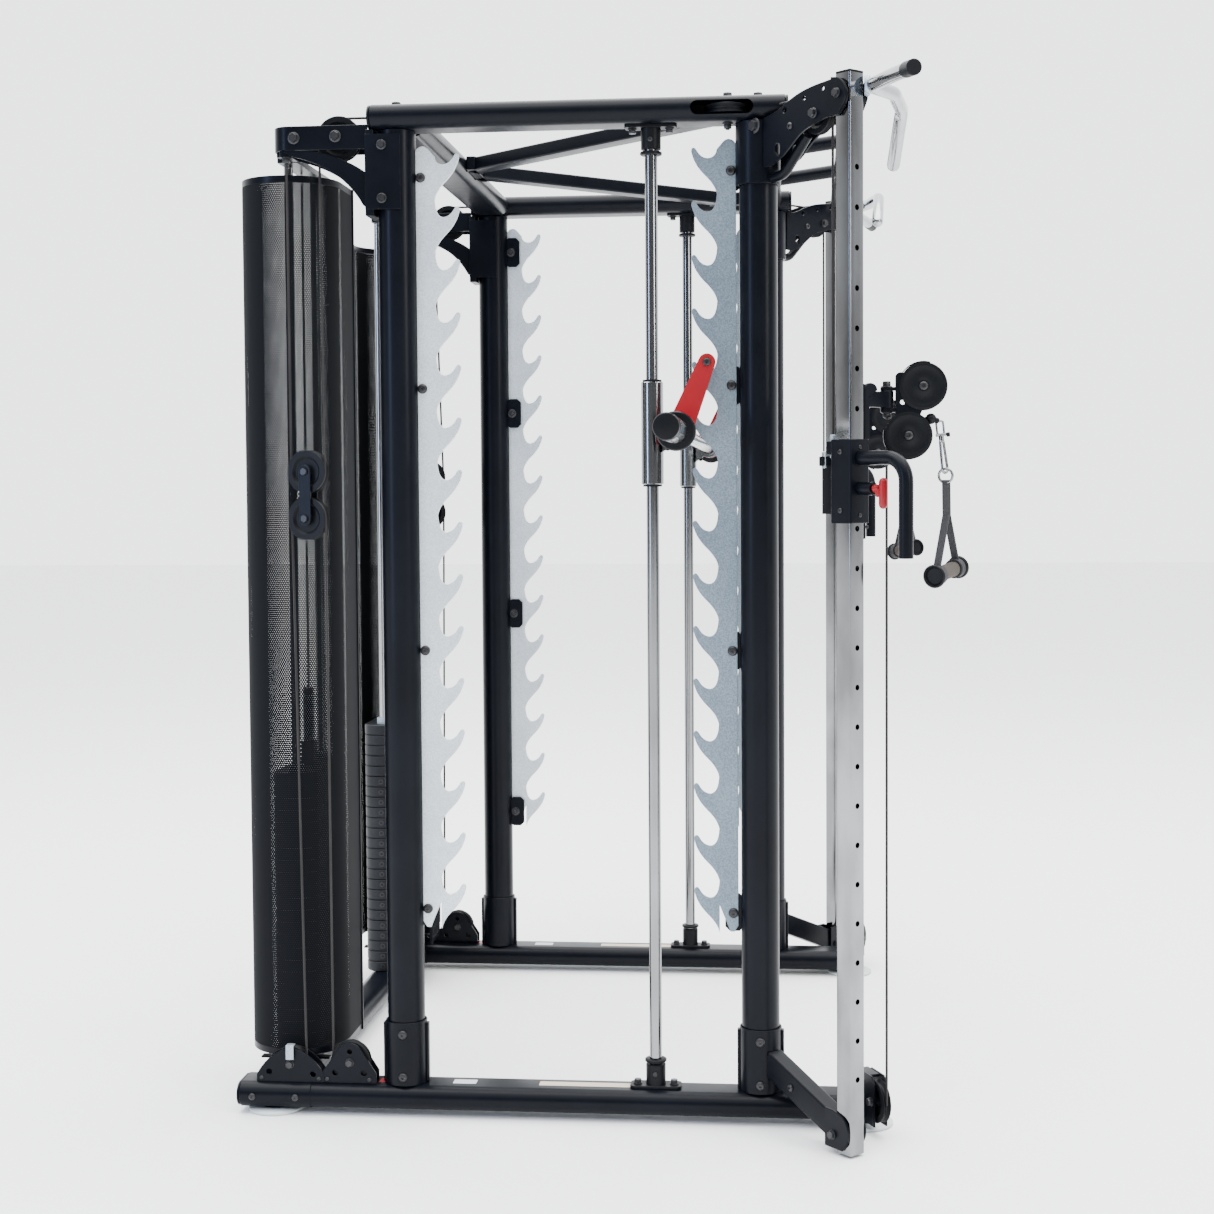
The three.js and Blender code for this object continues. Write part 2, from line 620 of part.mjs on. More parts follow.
function cheekPlate(side) {
  const upperBack = upperSwivelPulley.y - swivel.y;
  const lowerBack = lowerSwivelPulley.y - swivel.y;
  const outline = new THREE.Shape();
  outline.moveTo(cheek.back, barrel.bottom - 7);
  outline.lineTo(cheek.back, swivel.top - 8);
  outline.lineTo(cheek.back - 10, swivel.top);
  outline.lineTo(upperBack, upperSwivelPulley.z + cheek.boss + 4);
  outline.absarc(upperBack, upperSwivelPulley.z, cheek.boss, Math.PI / 2, Math.PI, false);
  outline.lineTo(-64, 1420);
  outline.lineTo(lowerBack - cheek.boss, lowerSwivelPulley.z);
  outline.absarc(lowerBack, lowerSwivelPulley.z, cheek.boss, Math.PI, Math.PI * 1.8, false);
  outline.closePath();
  const inner = side * cheek.offset;
  const outer = side * (cheek.offset + cheek.thickness);
  return plateAcross(outline, Math.min(inner, outer), Math.max(inner, outer), 5);
}

function swivelShape() {
  const width = cheek.offset + 1;
  const z0 = barrel.bottom;
  const z1 = barrel.top;
  const lugs = [
    box(-width, width, cheek.back - 6, 12, z0 - 7, z0 - gap),
    box(-width, width, cheek.back - 6, 12, z1 + gap, z1 + 7),
  ];
  const pivot = upright(0, 0, z0 - 3, z1 + 3, barrel.pin, 16);
  const axles = [upperSwivelPulley, lowerSwivelPulley].map((p) => (
    rodBetween([-cheek.offset - 7, p.y - swivel.y, p.z], [cheek.offset + 7, p.y - swivel.y, p.z], 4.7, 8)
  ));
  return join([cheekPlate(-1), cheekPlate(1), ...lugs, pivot, ...axles]);
}

placeBoth('swivel_arm', swivelShape(), blackPaint, [swivel.x, swivel.y, 0]);
const swivelWheel = wheelAcross(pulley);
for (const [name, p] of [['upper', upperSwivelPulley], ['lower', lowerSwivelPulley]]) {
  placeBoth(`${name}_swivel_pulley`, swivelWheel, blackPlastic, [swivel.x, p.y, p.z]);
}

// Grip handle: ball stopper, snap hook, ring, strap and grip, as one hanging piece

function gripShape() {
  const turn = -0.5;
  const ends = [-1, 1].map((s) => [s * handle.half * Math.cos(turn), s * handle.half * Math.sin(turn)]);
  const tube = rodBetween([...ends[0], handle.z], [...ends[1], handle.z], handle.radius, 12);
  const discs = ends.map(([x, y]) => (
    rodBetween([x * 0.9, y * 0.9, handle.z], [x * 1.06, y * 1.06, handle.z], 22, 14)
  ));
  const forkZ = 1215;
  const straps = ends.map(([x, y]) => beamBetween([0, 0, forkZ], [x * 0.92, y * 0.92, handle.z], 5, 22));
  const web = box(-11, 11, -4, 4, forkZ - 12, 1292);
  const ring = rodBetween([0, 0, 1288], [0, 0, 1316], 5, 6);
  const hook = rodBetween([0, 0, 1308], [0, 23, 1406], 6, 6);
  const ball = new THREE.SphereGeometry(9, 10, 6);
  ball.translate(0, -331 - handle.y, 1408);
  return join([tube, ...discs, ...straps, web, ring, hook, solid(ball)]);
}

placeBoth('grip_handle', gripShape(), rubber, [handle.x, handle.y, 0]);

// Cables that stretch between the carriage and the two ends of the post

function runShape(z0, z1) {
  return upright(0, 0, z0, z1, cableRadius, 8);
}

const [headRunX, headRunY] = alongBracket(headPulley.along + headPulley.groove + cableRadius + 0.5, 0, 0);
placeBoth('head_cable', runShape(carriageSpan.top + gap, headPulley.z), castIron, [headRunX, headRunY, 0]);
placeBoth('handle_cable', runShape(74, lowerSwivelPulley.z), castIron, [swivel.x, swivel.y, 0]);

// Tower: a U band and bracket on the rear column, guide rods, weights, lift head and guard

function bandOutline(inset) {
  const half = band.half - inset;
  const shape = new THREE.Shape();
  shape.moveTo(-sideX + half, band.front);
  shape.lineTo(-sideX + half, band.centre);
  shape.absarc(-sideX, band.centre, half, 0, Math.PI, false);
  shape.lineTo(-sideX - half, band.front);
  shape.closePath();
  return shape;
}

function gussetShape(x0) {
  const outline = new THREE.Shape();
  outline.moveTo(772, 1836);
  outline.lineTo(790, 1850);
  outline.quadraticCurveTo(830, 1925, 935, 1950);
  outline.lineTo(960, band.bottom + 2);
  outline.lineTo(900, band.bottom + 2);
  outline.quadraticCurveTo(815, 1945, 772, 1905);
  outline.closePath();
  return plateAcross(outline, x0, x0 + 5, 5);
}

function towerFrameShape() {
  const around = plateFlat(bandOutline(0), band.bottom, band.top, 8);
  const inside = plateFlat(bandOutline(band.thickness), band.bottom - 1, band.top + 1, 8);
  const opening = box(-700, -500, band.front - 20, band.front + 4, band.bottom - 1, band.top + 1);
  const ring = cut(around, [inside.subtract(opening)]);
  const bracket = box(-sideX - 41, -sideX + 41, 742, 784, 1828, 1999);
  const column = upright(-sideX, rearColumnY, 1700, topUnder, columnRadius + 0.8, 20);
  const gussets = [gussetShape(-sideX - 34), gussetShape(-sideX + 29)];
  const shelf = box(-sideX, guideRods.x[1] + 22, tower.y - 30, tower.y + 12, guideRods.top, band.bottom + 1);
  const rods = guideRods.x.map((x) => (
    upright(x, tower.y, baseTop + gap, guideRods.top + 2, guideRods.radius, 16)
  ));
  return cut(join([ring, bracket, ...gussets, shelf, ...rods]), [column]);
}

placeBoth('tower_frame', towerFrameShape(), blackPaint);

function stackBlock(z0, z1) {
  const outline = obround(stack.right - stack.left, 2 * stack.half);
  const body = plateFlat(outline, z0, z1, 6).translate([(stack.left + stack.right) / 2, tower.y, 0]);
  const bores = guideRods.x.map((x) => upright(x, tower.y, z0 - 1, z1 + 1, guideRods.radius + 1, 16));
  return cut(body, bores);
}

function weightStackShape() {
  const stemBore = upright(stem.x, tower.y, stack.bottom + 20, stack.middle + 1, stem.radius + 1, 16);
  return cut(stackBlock(baseTop + gap, stack.middle), [stemBore]);
}

function liftHeadShape() {
  const plates = stackBlock(stack.middle + gap, stack.top);
  const rodBelow = upright(stem.x, tower.y, stack.bottom + 24, stack.middle + 2, stem.radius, 16);
  const rodAbove = upright(stem.x, tower.y, stack.top - 2, stem.top, stem.radius + 3, 16);
  const head = box(stem.x - 18, stem.x + 18, tower.y - 14, tower.y + 14, stack.top - 1, stack.top + 52);
  return join([plates, rodBelow, rodAbove, head]);
}

placeBoth('weight_stack', weightStackShape(), castIron);
placeBoth('lift_head', liftHeadShape(), castIron);

function guardOutline(inset) {
  const r = tower.radius - inset;
  const shape = new THREE.Shape();
  shape.moveTo(tower.inner, tower.y + r);
  shape.lineTo(tower.x, tower.y + r);
  shape.absarc(tower.x, tower.y, r, Math.PI / 2, Math.PI * 1.5, false);
  shape.lineTo(tower.inner, tower.y - r);
  shape.closePath();
  return shape;
}

function guardShape() {
  const outside = plateFlat(guardOutline(0), tower.bottom, tower.top, 10);
  const inside = plateFlat(guardOutline(tower.wall), tower.bottom - 1, tower.top + 1, 10);
  const mouth = box(tower.inner - 4, tower.inner + 4, tower.y - 90, tower.y + 90, 0, 2000);
  return cut(outside, [inside, mouth]);
}

placeBoth('stack_guard', guardShape(), mesh);

// Travelling block: two pulleys between side plates, hung in the cables outside the guard

function blockShape() {
  const middle = (block.upper + block.lower) / 2;
  const half = (block.upper - block.lower) / 2;
  const wheels = [half, -half].map((z) => (
    wheelAcross({ radius: 44, groove: 37, width: 18, bore: 0.01 }).translate([0, 0, z])
  ));
  const plates = [-1, 1].map((s) => {
    const x = s * 13;
    return box(x - 2, x + 2, -13, 13, -half - 14, half + 14);
  });
  const axles = [half, -half].map((z) => rodBetween([-19, 0, z], [19, 0, z], 6, 8));
  const turn = (block.turn * 180) / Math.PI;
  return join([...wheels, ...plates, ...axles]).rotate([0, 0, turn]).translate([0, 0, middle]);
}

placeBoth('travelling_block', blockShape(), blackPlastic, [block.x, block.y, 0]);

export default group;
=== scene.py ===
import math

import bmesh
import bpy
from mathutils import Matrix, Vector
from mathutils.geometry import tessellate_polygon


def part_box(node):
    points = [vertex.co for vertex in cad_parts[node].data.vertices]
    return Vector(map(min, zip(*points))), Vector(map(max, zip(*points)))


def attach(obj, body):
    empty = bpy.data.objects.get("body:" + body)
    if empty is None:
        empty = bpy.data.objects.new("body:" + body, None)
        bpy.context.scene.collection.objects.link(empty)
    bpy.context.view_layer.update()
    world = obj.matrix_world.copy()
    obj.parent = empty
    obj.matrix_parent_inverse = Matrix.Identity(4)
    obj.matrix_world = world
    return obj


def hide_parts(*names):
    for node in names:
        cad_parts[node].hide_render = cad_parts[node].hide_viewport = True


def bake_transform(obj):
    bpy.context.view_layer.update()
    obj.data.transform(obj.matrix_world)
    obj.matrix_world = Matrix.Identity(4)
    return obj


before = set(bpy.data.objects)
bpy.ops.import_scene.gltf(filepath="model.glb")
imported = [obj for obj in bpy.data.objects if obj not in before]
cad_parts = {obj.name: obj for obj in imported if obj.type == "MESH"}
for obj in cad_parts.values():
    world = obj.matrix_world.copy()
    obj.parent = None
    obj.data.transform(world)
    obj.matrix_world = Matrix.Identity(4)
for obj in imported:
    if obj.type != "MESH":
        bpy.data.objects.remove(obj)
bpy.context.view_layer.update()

# Everything below is in machine millimetres: +Z up, and depth y counted from the axis of the front
# columns. The left side (x below 0) is drawn and the right side is its mirror image.
MM = 0.001
REAR_Y = 727
beam_low, beam_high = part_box("rear_top_beam")
DEPTH_SHIFT = (beam_low.y + beam_high.y) / 2 - REAR_Y * MM

SIDE_X = -600
COLUMN_R = 38
RAIL_Z = 38
RAIL_TOP = 63
ROOF_Z = 2025
ROOF_UNDER = 2000
POST = Vector((-793, -175, 0))
OUTWARD = Vector((-1, -1, 0)).normalized()
INWARD_FRONT = Vector((1, -1, 0)).normalized()
UP = Vector((0, 0, 1))
X_AXIS = Vector((1, 0, 0))
Y_AXIS = Vector((0, 1, 0))


def at(x, y, z):
    return Vector((x, y, z))


def to_metres(p):
    return Vector((p.x * MM, p.y * MM + DEPTH_SHIFT, p.z * MM))


# ---------------------------------------------------------------- materials

class Nodes:
    """A material's node tree with a Principled shader, and short ways to add to it."""

    def __init__(self, name):
        self.material = bpy.data.materials.new(name)
        self.material.use_nodes = True
        self.tree = self.material.node_tree
        self.shader = self.tree.nodes["Principled BSDF"]
        self.place = self.tree.nodes.new("ShaderNodeTexCoord")

    def add(self, kind, **values):
        node = self.tree.nodes.new(kind)
        for key, value in values.items():
            setattr(node, key, value)
        return node

    def link(self, out, into):
        self.tree.links.new(out, into)

    def noise(self, scale, detail=2.0, stretch=None):
        texture = self.add("ShaderNodeTexNoise")
        texture.inputs["Scale"].default_value = scale
        texture.inputs["Detail"].default_value = detail
        if stretch is None:
            self.link(self.place.outputs["Object"], texture.inputs["Vector"])
        else:
            mapping = self.add("ShaderNodeMapping")
            mapping.inputs["Scale"].default_value = stretch
            self.link(self.place.outputs["Object"], mapping.inputs["Vector"])
            self.link(mapping.outputs["Vector"], texture.inputs["Vector"])
        return texture.outputs["Fac"]

    def ramp(self, source, stops):
        ramp = self.add("ShaderNodeValToRGB")
        elements = ramp.color_ramp.elements
        while len(elements) < len(stops):
            elements.new(0.5)
        for element, (position, color) in zip(elements, stops):
            element.position = position
            element.color = (*color, 1)
        self.link(source, ramp.inputs["Fac"])
        return ramp.outputs["Color"]

    def spread(self, source, low, high):
        change = self.add("ShaderNodeMapRange")
        change.inputs["To Min"].default_value = low
        change.inputs["To Max"].default_value = high
        self.link(source, change.inputs["Value"])
        return change.outputs["Result"]

    def bump(self, source, height):
        bump = self.add("ShaderNodeBump")
        bump.inputs["Strength"].default_value = 0.35
        bump.inputs["Distance"].default_value = height
        self.link(source, bump.inputs["Height"])
        self.link(bump.outputs["Normal"], self.shader.inputs["Normal"])

    def values(self, **inputs):
        for key, value in inputs.items():
            self.shader.inputs[key.replace("_", " ")].default_value = value


def coated(name, dark, light, roughness, metallic=0.0, grain=900, height=0.00006, coat=0.0, shine=0.22):
    n = Nodes(name)
    n.values(Metallic=metallic, Specular_IOR_Level=shine)
    color = n.ramp(n.noise(7, 3), [(0.3, dark), (0.7, light)])
    n.link(color, n.shader.inputs["Base Color"])
    n.link(n.spread(n.noise(40, 3), roughness - 0.05, roughness + 0.06), n.shader.inputs["Roughness"])
    n.bump(n.noise(grain, 2), height)
    if coat:
        n.shader.inputs["Coat Weight"].default_value = coat
        n.shader.inputs["Coat Roughness"].default_value = 0.25
    return n.material


def chrome_look(name="chrome", tone=0.38, reflection_band_strength=1.0):
    n = Nodes(name)
    n.values(Metallic=1.0)
    # The base colour darkens in noise streaks stretched along z: painted reflection bands, as strong as the
    # third argument asks.
    reflection_band_tone = tone * (1 - 0.22 * reflection_band_strength)
    cloud = n.noise(9, 4, (1, 1, 0.45))
    dark, light = (reflection_band_tone, reflection_band_tone * 1.01, reflection_band_tone * 1.02), (tone, tone * 1.02, tone * 1.05)
    color = n.ramp(cloud, [(0.35, dark), (0.62, light)])
    n.link(color, n.shader.inputs["Base Color"])
    n.link(n.spread(n.noise(30, 4, (1, 1, 0.1)), 0.08, 0.2), n.shader.inputs["Roughness"])
    return n.material


def zinc_look(name="zinc_plate", dark=(0.26, 0.31, 0.36), light=(0.42, 0.48, 0.53)):
    n = Nodes(name)
    n.values(Metallic=0.55)
    speck = n.ramp(n.noise(420, 3), [(0.38, dark), (0.62, light)])
    cloud = n.ramp(n.noise(6, 4), [(0.3, (0.8, 0.82, 0.84)), (0.7, (1.0, 1.0, 1.0))])
    mix = n.add("ShaderNodeMix", data_type="RGBA", blend_type="MULTIPLY")
    mix.inputs["Factor"].default_value = 1.0
    n.link(speck, mix.inputs[6])
    n.link(cloud, mix.inputs[7])
    n.link(mix.outputs[2], n.shader.inputs["Base Color"])
    n.link(n.spread(n.noise(300, 2), 0.36, 0.52), n.shader.inputs["Roughness"])
    return n.material


def webbing_look():
    n = Nodes("strap_webbing")
    n.values(Roughness=0.85)
    wave = n.add("ShaderNodeTexWave")
    wave.inputs["Scale"].default_value = 420
    wave.bands_direction = "Z"
    n.link(n.place.outputs["Object"], wave.inputs["Vector"])
    color = n.ramp(wave.outputs["Fac"], [(0.2, (0.006, 0.006, 0.007)), (0.8, (0.03, 0.03, 0.034))])
    n.link(color, n.shader.inputs["Base Color"])
    n.bump(wave.outputs["Fac"], 0.0004)
    return n.material


def perforated_look():
    """Black sheet with round holes on a hexagonal pattern; the UV map of the guard is in metres."""
    n = Nodes("perforated_steel")
    pitch, hole = 0.0048, 0.00076
    n.values(Roughness=0.72, Metallic=0.0, Specular_IOR_Level=0.08)
    n.shader.inputs["Base Color"].default_value = (0.003, 0.0036, 0.005, 1)
    tall = pitch * math.sqrt(3)
    nearest = []
    for offset in (0.0, 0.5):
        mapping = n.add("ShaderNodeMapping")
        mapping.inputs["Scale"].default_value = (1 / pitch, 1 / tall, 1)
        mapping.inputs["Location"].default_value = (offset, offset, 0)
        n.link(n.place.outputs["UV"], mapping.inputs["Vector"])
        cell = n.add("ShaderNodeVectorMath", operation="FRACTION")
        n.link(mapping.outputs["Vector"], cell.inputs[0])
        centred = n.add("ShaderNodeVectorMath", operation="SUBTRACT")
        centred.inputs[1].default_value = (0.5, 0.5, 0)
        n.link(cell.outputs["Vector"], centred.inputs[0])
        sized = n.add("ShaderNodeVectorMath", operation="MULTIPLY")
        sized.inputs[1].default_value = (pitch, tall, 0)
        n.link(centred.outputs["Vector"], sized.inputs[0])
        length = n.add("ShaderNodeVectorMath", operation="LENGTH")
        n.link(sized.outputs["Vector"], length.inputs[0])
        nearest.append(length.outputs["Value"])
    smallest = n.add("ShaderNodeMath", operation="MINIMUM")
    n.link(nearest[0], smallest.inputs[0])
    n.link(nearest[1], smallest.inputs[1])
    solid = n.add("ShaderNodeMath", operation="GREATER_THAN")
    solid.inputs[1].default_value = hole
    n.link(smallest.outputs["Value"], solid.inputs[0])
    n.link(solid.outputs["Value"], n.shader.inputs["Alpha"])
    return n.material


LOOKS = {
    "black_frame": coated("black_frame", (0.0016, 0.0022, 0.004), (0.003, 0.0038, 0.0065), 0.3, shine=0.1),
    "chrome": chrome_look(),
    "zinc_plate": zinc_look(),
    "red_paint": coated("red_paint", (0.20, 0.005, 0.009), (0.26, 0.007, 0.012), 0.32, coat=0.1),
    "black_plastic": coated("black_plastic", (0.0025, 0.003, 0.004), (0.0045, 0.005, 0.0065), 0.42,
                            shine=0.12),
    "grip_rubber": coated("grip_rubber", (0.055, 0.046, 0.040), (0.075, 0.063, 0.055), 0.8, grain=500,
                          height=0.0005),
    "foot": coated("foot", (0.52, 0.56, 0.56), (0.62, 0.66, 0.66), 0.55),
    "perforated_steel": perforated_look(),
    "weight_iron": coated("weight_iron", (0.004, 0.0045, 0.006), (0.008, 0.009, 0.011), 0.5, 0, 260, 0.0003),
    "cable": coated("cable", (0.012, 0.011, 0.011), (0.02, 0.018, 0.017), 0.5),
    "strap_webbing": webbing_look(),
    "label": coated("label", (0.50, 0.42, 0.34), (0.55, 0.47, 0.39), 0.6),
}
OXIDE = coated("black_oxide", (0.006, 0.006, 0.007), (0.012, 0.012, 0.014), 0.36, shine=0.4)
# The post's chrome gets its painted reflection bands at 1.8 times the usual strength.
POST_CHROME = chrome_look("post_chrome", 0.27, 1.8)
ROD_CHROME = chrome_look("rod_chrome", 0.24)
# Two copies of the zinc look that differ only in brightness: the darker one is painted shade for the front
# hook plate, the lighter one painted light for the rear plate.
ZINC_PAINTED_SHADE = zinc_look("zinc_painted_shade", (0.13, 0.17, 0.21), (0.21, 0.26, 0.30))
ZINC_PAINTED_LIGHT = zinc_look("zinc_painted_light", (0.52, 0.56, 0.59), (0.68, 0.72, 0.74))
PALE_LABEL = coated("pale_label", (0.5, 0.52, 0.53), (0.56, 0.58, 0.59), 0.6)


# ---------------------------------------------------------------- outlines

def arc(cx, cy, r, start, end, steps):
    """Points on a circle, angles in degrees."""
    return [
        (cx + r * math.cos(math.radians(start + (end - start) * k / steps)),
         cy + r * math.sin(math.radians(start + (end - start) * k / steps)))
        for k in range(steps + 1)
    ]


def circle(cx, cy, r, sides=32):
    return arc(cx, cy, r, 0, 360 - 360 / sides, sides - 1)


def round_rect(width, height, r, steps=5):
    w, h = width / 2 - r, height / 2 - r
    return (arc(w, -h, r, -90, 0, steps) + arc(w, h, r, 0, 90, steps)
            + arc(-w, h, r, 90, 180, steps) + arc(-w, -h, r, 180, 270, steps))


def smooth_line(points, steps=8):
    """A line through points: each is (a, b), or (a, b, a2, b2) for a curve to (a2, b2) bent by (a, b)."""
    out = []
    for p in points:
        if len(p) == 2:
            out.append(p)
            continue
        x0, y0 = out[-1]
        for k in range(1, steps + 1):
            t = k / steps
            out.append((
                (1 - t) ** 2 * x0 + 2 * t * (1 - t) * p[0] + t * t * p[2],
                (1 - t) ** 2 * y0 + 2 * t * (1 - t) * p[1] + t * t * p[3],
            ))
    return out


def shifted(outline, x, y):
    return [(a + x, b + y) for a, b in outline]


def area(loop):
    return sum(a[0] * b[1] - b[0] * a[1] for a, b in zip(loop, loop[1:] + loop[:1])) / 2


def turned(loop, counterclockwise):
    return list(loop) if (area(loop) > 0) == counterclockwise else list(reversed(loop))


def inset(loop, distance):
    """The loop moved toward its left side by a distance."""
    if not distance:
        return list(loop)
    out = []
    for i, here in enumerate(loop):
        back = Vector(here) - Vector(loop[i - 1])
        ahead = Vector(loop[(i + 1) % len(loop)]) - Vector(here)
        if back.length < 1e-6 or ahead.length < 1e-6:
            out.append(here)
            continue
        n1 = Vector((-back.y, back.x)).normalized()
        n2 = Vector((-ahead.y, ahead.x)).normalized()
        move = (n1 + n2) / max(0.5, 1 + n1.dot(n2)) * distance
        out.append((here[0] + move.x, here[1] + move.y))
    return out


# ---------------------------------------------------------------- solids

def on_axes(origin, first, second, third):
    """The matrix that carries local x, y and z onto three directions, from an origin."""
    return Matrix.Translation(origin) @ Matrix((first, second, third)).transposed().to_4x4()


def frame_on(origin, axis, side=None):
    """The matrix that carries local z onto an axis, with local x as near to side as it can be."""
    z = Vector(axis).normalized()
    x = Vector(side) if side is not None else (UP if abs(z.z) < 0.9 else X_AXIS)
    x = (x - z * x.dot(z)).normalized()
    return on_axes(Vector(origin), x, z.cross(x), z)


class Shape:
    """Closed bodies gathered as points and faces, in machine millimetres."""

    def __init__(self):
        self.points = []
        self.faces = []

    def add(self, points, faces):
        start = len(self.points)
        self.points += [Vector(p) for p in points]
        self.faces += [tuple(start + i for i in face) for face in faces]
        return self

    def join(self, other):
        return self.add(other.points, other.faces)

    def loft(self, rings, closed=False):
        n = len(rings[0])
        points = [p for ring in rings for p in ring]
        faces = []
        for k in range(len(rings) if closed else len(rings) - 1):
            a, b = k * n, ((k + 1) % len(rings)) * n
            faces += [(a + i, a + (i + 1) % n, b + (i + 1) % n, b + i) for i in range(n)]
        if not closed:
            last = (len(rings) - 1) * n
            faces += [tuple(reversed(range(n))), tuple(range(last, last + n))]
        return self.add(points, faces)

    def lathe(self, origin, axis, profile, sides=40, side=None):
        """A turned body of (radius, distance along the axis) points. A closed profile makes a ring."""
        m = frame_on(origin, axis, side)
        closed = profile[0] == profile[-1]
        rings = [
            [m @ Vector((r * math.cos(math.tau * k / sides), r * math.sin(math.tau * k / sides), h))
             for k in range(sides)]
            for r, h in (profile[:-1] if closed else profile)
        ]
        return self.loft(rings, closed)

    def rod(self, start, end, r, sides=32, chamfer=0.8):
        length = (Vector(end) - Vector(start)).length
        c = min(chamfer, length / 3, r / 3)
        profile = [(r - c, 0), (r, c), (r, length - c), (r - c, length)]
        return self.lathe(start, Vector(end) - Vector(start), profile, sides)

    def slab(self, m, outline, t0, t1, holes=(), chamfer=0.6):
        loops = [turned(outline, True)] + [turned(hole, False) for hole in holes]
        c = min(chamfer, (t1 - t0) / 3)
        points, faces, sizes = [], [], [len(loop) for loop in loops]
        total = sum(sizes)
        for t, grow in ((t0, c), (t0 + c, 0), (t1 - c, 0), (t1, c)):
            for loop in loops:
                points += [m @ Vector((a, b, t)) for a, b in inset(loop, grow)]
        for layer in range(3):
            start = layer * total
            for n in sizes:
                faces += [
                    (start + i, start + (i + 1) % n, start + total + (i + 1) % n, start + total + i)
                    if i + 1 < n else (start + i, start, start + total, start + total + i)
                    for i in range(n)
                ]
                start += n
        if holes:
            flat = [[Vector((a, b, 0)) for a, b in inset(loop, c)] for loop in loops]
            for a, b, d in tessellate_polygon(flat):
                faces.append((a, b, d))
                faces.append((3 * total + d, 3 * total + b, 3 * total + a))
        else:
            faces.append(tuple(reversed(range(total))))
            faces.append(tuple(range(3 * total, 4 * total)))
        return self.add(points, faces)

    def across(self, outline, x0, x1, holes=(), chamfer=0.6):
        """A plate drawn in (y, z), standing from x0 to x1."""
        m = Matrix(((0, 0, 1, 0), (1, 0, 0, 0), (0, 1, 0, 0), (0, 0, 0, 1)))
        return self.slab(m, outline, x0, x1, holes, chamfer)

    def flat(self, outline, z0, z1, holes=(), chamfer=0.6):
        """A plate drawn in (x, y), from z0 to z1."""
        return self.slab(Matrix.Identity(4), outline, z0, z1, holes, chamfer)

    def bar(self, start, end, section, side=None, chamfer=0.8):
        """A section drawn across the line from start to end; side is the direction of its first axis."""
        length = (Vector(end) - Vector(start)).length
        return self.slab(frame_on(start, Vector(end) - Vector(start), side), section, 0, length, (), chamfer)

    def block(self, x0, x1, y0, y1, z0, z1, r=1.5, chamfer=0.8):
        section = shifted(round_rect(x1 - x0, y1 - y0, r, 3), (x0 + x1) / 2, (y0 + y1) / 2)
        return self.flat(section, z0, z1, (), chamfer)

    def tube(self, corners, r, bend=0, sides=28, ends="flat", section=None):
        """A round bar bent along corner points, or a section swept along them."""
        path = rounded(corners, bend)
        outline = section or circle(0, 0, r, sides)
        z = (path[1] - path[0]).normalized()
        x = frame_on(path[0], z).col[0].to_3d()
        rings = []
        reach = [0.0] * len(path)
        scales = [1.0] * len(path)
        if ends == "dome":
            first, last = path[0].copy(), path[-1].copy()
            a, b = (path[0] - path[1]).normalized(), (path[-1] - path[-2]).normalized()
            angles = [math.radians(v) for v in (84, 66, 46, 24)]
            path = ([first + a * (r * (math.sin(v) - 1)) for v in angles] + [first - a * r] + path[1:-1]
                    + [last - b * r] + [last + b * (r * (math.sin(v) - 1)) for v in reversed(angles)])
            scales = ([math.cos(v) for v in angles] + [1.0] * (len(path) - 8)
                      + [math.cos(v) for v in reversed(angles)])
        elif ends == "flat":
            c = min(1.2, r / 4)
            a, b = (path[1] - path[0]).normalized(), (path[-2] - path[-1]).normalized()
            path = [path[0], path[0] + a * c] + path[1:-1] + [path[-1] + b * c, path[-1]]
            scales = [1 - c / r] + [1.0] * (len(path) - 2) + [1 - c / r]
        for i, p in enumerate(path):
            before = path[max(i - 1, 0)]
            after = path[min(i + 1, len(path) - 1)]
            direction = (after - before).normalized()
            x = (x - direction * x.dot(direction)).normalized()
            y = direction.cross(x)
            rings.append([p + (x * a + y * b) * scales[i] for a, b in outline])
        return self.loft(rings)

    def hex_bolt(self, origin, axis, across=17, height=9, washer=12.5, turn=0.0):
        """A hexagon head on a washer."""
        n = Vector(axis).normalized()
        base = Vector(origin)
        if washer:
            self.lathe(base, n, [(washer, 0), (washer, 1.4), (washer - 0.8, 2)], 32)
            base = base + n * 2
        r = across / math.sqrt(3)
        m = frame_on(base, n) @ Matrix.Rotation(turn, 4, "Z")
        rings = []
        for scale, h in ((0.97, 0), (1, 0.6), (1, height - 1.6), (0.88, height)):
            angles = [math.tau * k / 6 for k in range(6)]
            rings.append([m @ Vector((r * scale * math.cos(a), r * scale * math.sin(a), h)) for a in angles])
        return self.loft(rings)

    def nut(self, origin, axis, across=17, height=10, washer=12.5, stub=5):
        self.hex_bolt(origin, axis, across, height, washer)
        base = Vector(origin) + Vector(axis).normalized() * (height + 1.5)
        return self.rod(base, base + Vector(axis).normalized() * stub, across * 0.27, 16)

    def button(self, origin, axis, r=9, height=5):
        """A round bolt head with a socket."""
        profile = [(r, 0), (r, height * 0.35), (r * 0.92, height * 0.65), (r * 0.72, height * 0.9),
                   (r * 0.5, height), (r * 0.34, height), (r * 0.32, height * 0.45)]
        return self.lathe(origin, axis, profile, 28)

    def wheel(self, origin, axis, r, groove, width, hub=11):
        """A grooved pulley with a dished web and a hub, without a bore."""
        w = width / 2
        profile = [
            (hub, -w - 1), (hub, -w * 0.45), (groove - 10, -w * 0.45), (groove - 5, -w), (r - 1, -w),
            (r, -w + 1), (r, -w + 2), (groove + 0.8, -2.2), (groove, -1), (groove, 1), (groove + 0.8, 2.2),
            (r, w - 2), (r, w - 1), (r - 1, w), (groove - 5, w), (groove - 10, w * 0.45), (hub, w * 0.45),
            (hub, w + 1),
        ]
        return self.lathe(origin, axis, profile, 64)

